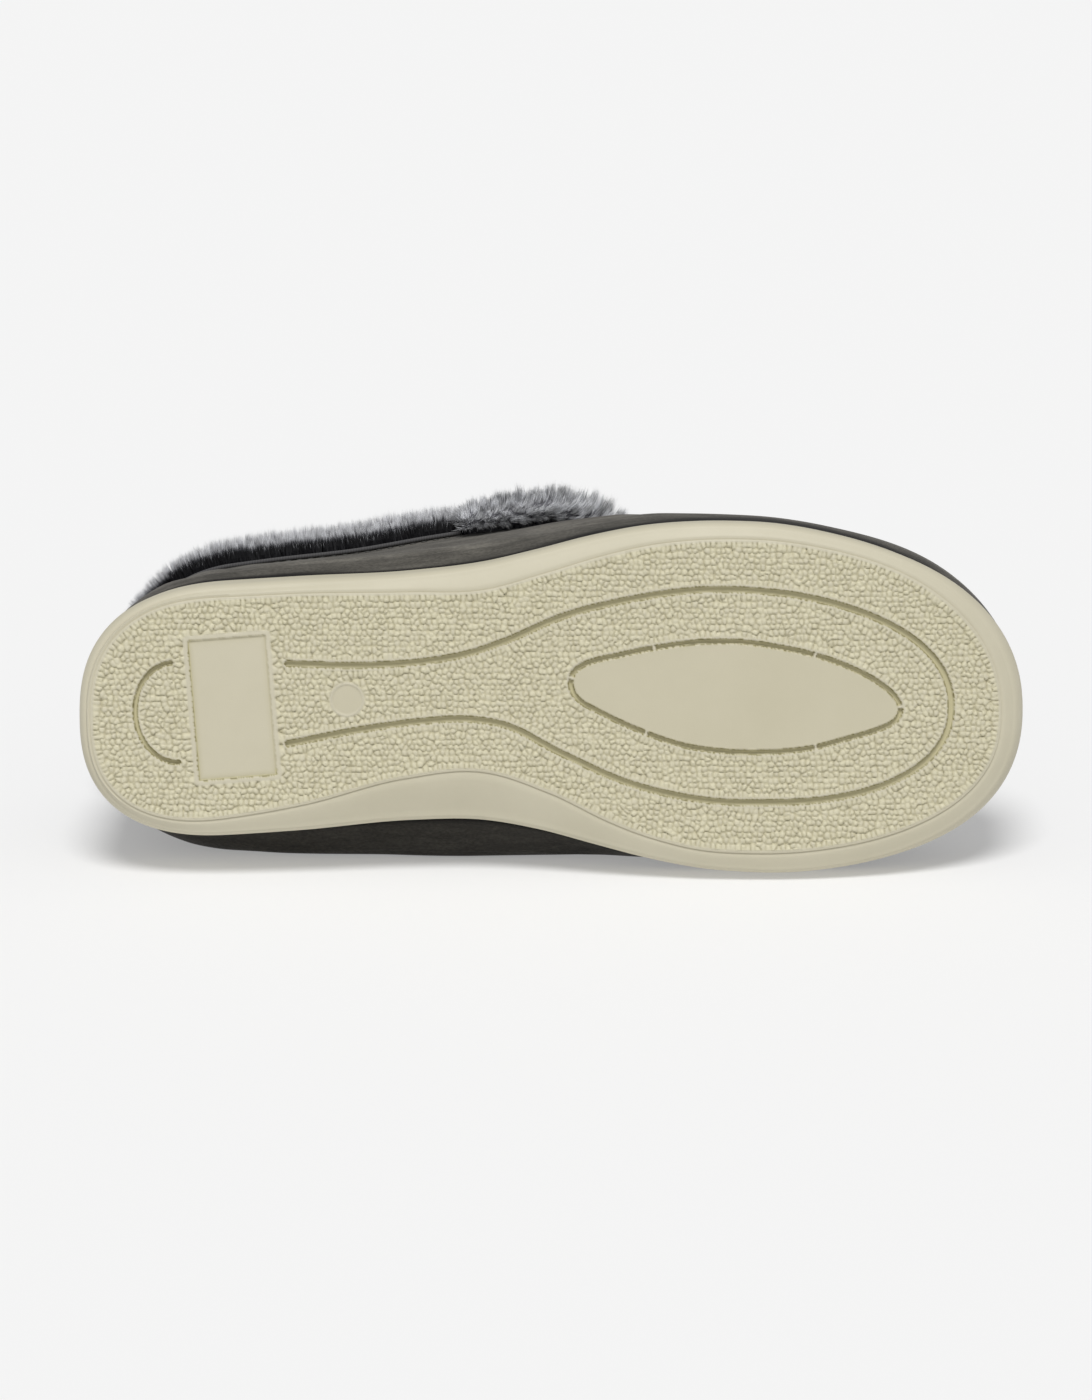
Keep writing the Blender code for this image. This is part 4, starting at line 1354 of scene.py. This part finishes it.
def furGrids(style):  # where the strands stand on the wall's edge, and the pile's outer face
    turns, run = evenTurns(style["span"], strand["seam"], style["stations"])
    end = np.clip(np.minimum(run, run[-1] - run) / style["endLength"], 0, 1)
    share = (style["endShare"] + (1 - style["endShare"]) * np.sqrt(1 - (1 - end) ** 2))[:, None]
    section = np.column_stack([style["section"]["out"], style["section"]["up"]])
    steps = runOf(section)
    line = {"along": steps / steps[-1], "out": section[:, 0], "up": section[:, 1]}
    marks = np.linspace(0, 1, sectionPoints)
    out = readColumn(line, "out", marks)
    up = readColumn(line, "up", marks)
    inner, outer, top = strand["edge"]
    rootOut = np.where(up > top, np.clip(out, inner, outer), np.where(out > -1, outer, inner))
    rootUp = np.minimum(up, top)
    hubOut, hubUp, hubShare = style["hub"]
    roll = style["roll"] * softStep(*strand["rollFrom"], out)
    rootOut = rootOut + (hubOut + (out - hubOut) * hubShare - rootOut) * roll
    rootUp = rootUp + (hubUp + (up - hubUp) * hubShare - rootUp) * roll
    corner = toplinePlan(turns)
    outerSide = softStep(0, strand["outerBlend"], -corner[:, 1])
    extra, middle, width = style["swell"]
    more = 1 + extra * np.exp(-(((corner[:, 0] - middle) / width) ** 2)) * outerSide
    more = more - style["tuck"] * (1 - softStep(*strand["heelCorner"], corner[:, 0])) * outerSide
    outs = rootOut + (out - rootOut) * share * np.where(out > 0, more[:, None], 1)
    ups = rootUp + (up - rootUp) * np.where(up < rootUp, share**2, share)
    flat = np.ones((len(turns), 1))
    roots, _ = besideWall(turns, rootOut * flat, rootUp * flat)
    faces, _ = besideWall(turns, outs, ups)
    return roots, faces, (run[-1] / (len(turns) - 1), steps[-1] / (sectionPoints - 1))


def readGrid(grid, a, s):
    a = np.clip(a, 0, grid.shape[0] - 1.001)
    s = np.clip(s, 0, grid.shape[1] - 1.001)
    i = a.astype(int)
    j = s.astype(int)
    u = (a - i)[:, None]
    v = (s - j)[:, None]
    low = grid[i, j] * (1 - v) + grid[i, j + 1] * v
    return low * (1 - u) + (grid[i + 1, j] * (1 - v) + grid[i + 1, j + 1] * v) * u


def strandMesh(name, roots, tips, across, facing, tone, shade):  # one thin triangle for each strand
    count = len(roots)
    matrix = np.array(lying)
    points = np.stack([roots - across, roots + across, tips], axis=1).reshape(-1, 3)
    points = points @ matrix[:3, :3].T + matrix[:3, 3]
    mesh = bpy.data.meshes.new(name)
    mesh.vertices.add(count * 3)
    mesh.vertices.foreach_set("co", points.astype(np.float32).ravel())
    mesh.loops.add(count * 3)
    mesh.loops.foreach_set("vertex_index", np.arange(count * 3, dtype=np.int32))
    mesh.polygons.add(count)
    mesh.polygons.foreach_set("loop_start", np.arange(0, count * 3, 3, dtype=np.int32))
    mesh.update(calc_edges=True)
    uv = mesh.uv_layers.new(name="strand")
    along = np.column_stack([shade, shade, np.ones(count)]).ravel()
    uv.data.foreach_set("uv", np.column_stack([np.repeat(tone, 3), along]).astype(np.float32).ravel())
    mesh.validate()
    mesh.shade_smooth()
    normals = facing @ matrix[:3, :3].T / place["millimetre"]
    mesh.normals_split_custom_set_from_vertices(np.repeat(normals, 3, axis=0))
    return mesh


def makeFur(style, paint):
    dice = np.random.default_rng(style["seed"])
    roots, faces, (stationStep, sectionStep) = furGrids(style)
    core = roots + (faces - roots) * style["core"]
    shell = np.concatenate([core, roots[:, ::-1], core[:, :1]], axis=1)
    crest = softStep(*style["crest"], np.linspace(0, 1, sectionPoints))
    crest = np.tile(np.concatenate([crest, crest[::-1], crest[:1]]), (style["stations"], 1))
    bm = closeHoles(loft(offFloor(shell), "crest", crest))
    putPiece(style["node"] + "_backing", bm, backingPaint, style["slot"], style["node"])
    # locks sit on a jittered grid, and every strand leans to the nearest one
    pitch = (style["lockPitch"] / stationStep, style["lockPitch"] / sectionStep)
    a, s = np.meshgrid(np.arange(0, style["stations"], pitch[0]), np.arange(0, sectionPoints, pitch[1]))
    locks = np.column_stack([a.ravel(), s.ravel()])
    locks = locks + dice.uniform(-strand["lockJitter"], strand["lockJitter"], locks.shape) * np.array(pitch)
    lockReach = dice.uniform(*style["lockReach"], len(locks))
    lockTone = dice.uniform(0, 1, len(locks))
    lockSway = dice.normal(0, style["sway"], (len(locks), 3))
    scale = np.array([stationStep, sectionStep])
    ahead = np.gradient(faces, axis=0)
    outside = unit(np.cross(ahead, np.gradient(faces, axis=1)))
    outside = outside * np.sign(np.sum(outside * (faces - roots), axis=2, keepdims=True))
    for number in range(strand["pieces"]):
        count = style["strands"] // strand["pieces"]
        a = dice.uniform(0, style["stations"] - 1, count)
        s = dice.uniform(0, 1, count) ** style["outerBias"] * (sectionPoints - 1)
        own = np.column_stack([a, s])
        lock, _ = nearest(locks * scale, own * scale)
        aim = own + (locks[lock] - own) * style["clump"]
        base = readGrid(roots, a, s)
        face = readGrid(faces, aim[:, 0], aim[:, 1])
        fromEnd = np.minimum(a, style["stations"] - 1 - a) * stationStep
        ends = np.clip(1 - fromEnd / strand["splayRun"], 0, 1) ** 2
        away = np.where(a < style["stations"] / 2, -1.0, 1.0)[:, None] * unit(readGrid(ahead, a, s))
        face = face + away * (ends * strand["splay"] * dice.uniform(*strand["splayShare"], count))[:, None]
        tip = face + unit(face - base) * lockReach[lock][:, None]
        tip = tip + lockSway[lock] + dice.normal(0, style["stray"], (count, 3))
        short = dice.uniform(0, 1, count) < style["short"]
        cut = dice.uniform(strand["shortest"], strand["longFrom"], count)
        length = np.where(short, cut, dice.uniform(strand["longFrom"], 1.0, count))
        tip = base + (tip - base) * length[:, None]
        across = unit(np.cross(tip - base, dice.normal(0, 1, (count, 3))))
        facing = unit(readGrid(outside, a, s) + dice.normal(0, strand["turnedAside"], (count, 3)))
        across = across * np.sign(np.sum(np.cross(across, tip - base) * facing, axis=1, keepdims=True))
        across = across * (strand["halfWidth"] * dice.uniform(*strand["widthShare"], count))[:, None]
        tone = style["lockTone"] * lockTone[lock] + (1 - style["lockTone"]) * dice.uniform(0, 1, count)
        name = f"{style['node']}_strands_{number + 1}"
        # the outer face's darker roots are painted shade
        shade = np.interp(s / (sectionPoints - 1), strand["shadeTurn"], style["shade"])
        mesh = strandMesh(name, offFloor(base), offFloor(tip), across, facing, tone, shade)
        putMesh(mesh.name, mesh, paint, style["slot"])


makeFur(collarFur, collarPaint)
makeFur(cuffFur, cuffPaint)

# pale floor, soft light and the camera
stage = {
    "floorSize": 8.0,
    "floorDrop": 0.0003,
    "floor": srgb(205, 205, 205),
    "floorGlow": 0.29,  # a pale lit floor keeps the shadow soft
    "world": 0.34,
    "sun": 2.38,
    "sunFrom": (-0.02, -0.46, 0.887),
    "sunAngle": math.radians(24.0),
    "aim": (127.6, -0.55, 0.0),
    "aboveTread": math.radians(5.0),
    "distance": 1.4,
    "sensor": 36.0,
    "framePixels": 1400,
    "pixel": 0.0002733,
}


def makeStage():
    bm = bmesh.new()
    bmesh.ops.create_grid(bm, x_segments=1, y_segments=1, size=stage["floorSize"])
    bmesh.ops.translate(bm, vec=(0, 0, -stage["floorDrop"]), verts=bm.verts[:])
    mesh = meshOf("floor", bm)
    sockets = {"Base Color": stage["floor"], "Roughness": 0.9, "Specular IOR Level": 0.0}
    sockets.update({"Emission Color": (1, 1, 1, 1), "Emission Strength": stage["floorGlow"]})
    mesh.materials.append(startMaterial("floor_paint", sockets)[0])
    floor = bpy.data.objects.new("floor", mesh)
    bpy.context.scene.collection.objects.link(floor)
    world = bpy.data.worlds.new("studio")
    world.use_nodes = True
    world.node_tree.nodes["Background"].inputs["Color"].default_value = (1, 1, 1, 1)
    world.node_tree.nodes["Background"].inputs["Strength"].default_value = stage["world"]
    bpy.context.scene.world = world
    sun = bpy.data.lights.new("soft_sun", "SUN")
    sun.energy = stage["sun"]
    sun.angle = stage["sunAngle"]
    lamp = bpy.data.objects.new("soft_sun", sun)
    lamp.rotation_euler = Vector(stage["sunFrom"]).to_track_quat("Z", "Y").to_euler()
    bpy.context.scene.collection.objects.link(lamp)


def makeCamera():
    aim = lying @ Vector(stage["aim"])
    tilt = stage["aboveTread"]
    away = -upAxis * math.cos(tilt) - innerAxis * math.sin(tilt)
    lens = bpy.data.cameras.new("camera")
    lens.sensor_width = stage["sensor"]
    lens.lens = stage["sensor"] * stage["distance"] / (stage["framePixels"] * stage["pixel"])
    camera = bpy.data.objects.new("camera", lens)
    camera.location = aim + away * stage["distance"]
    camera.rotation_euler = away.to_track_quat("Z", "Y").to_euler()
    bpy.context.scene.collection.objects.link(camera)
    bpy.context.scene.camera = camera


makeStage()
makeCamera()
bpy.context.scene.view_settings.view_transform = "Standard"
print("stage and camera placed")

bpy.context.view_layer.update()
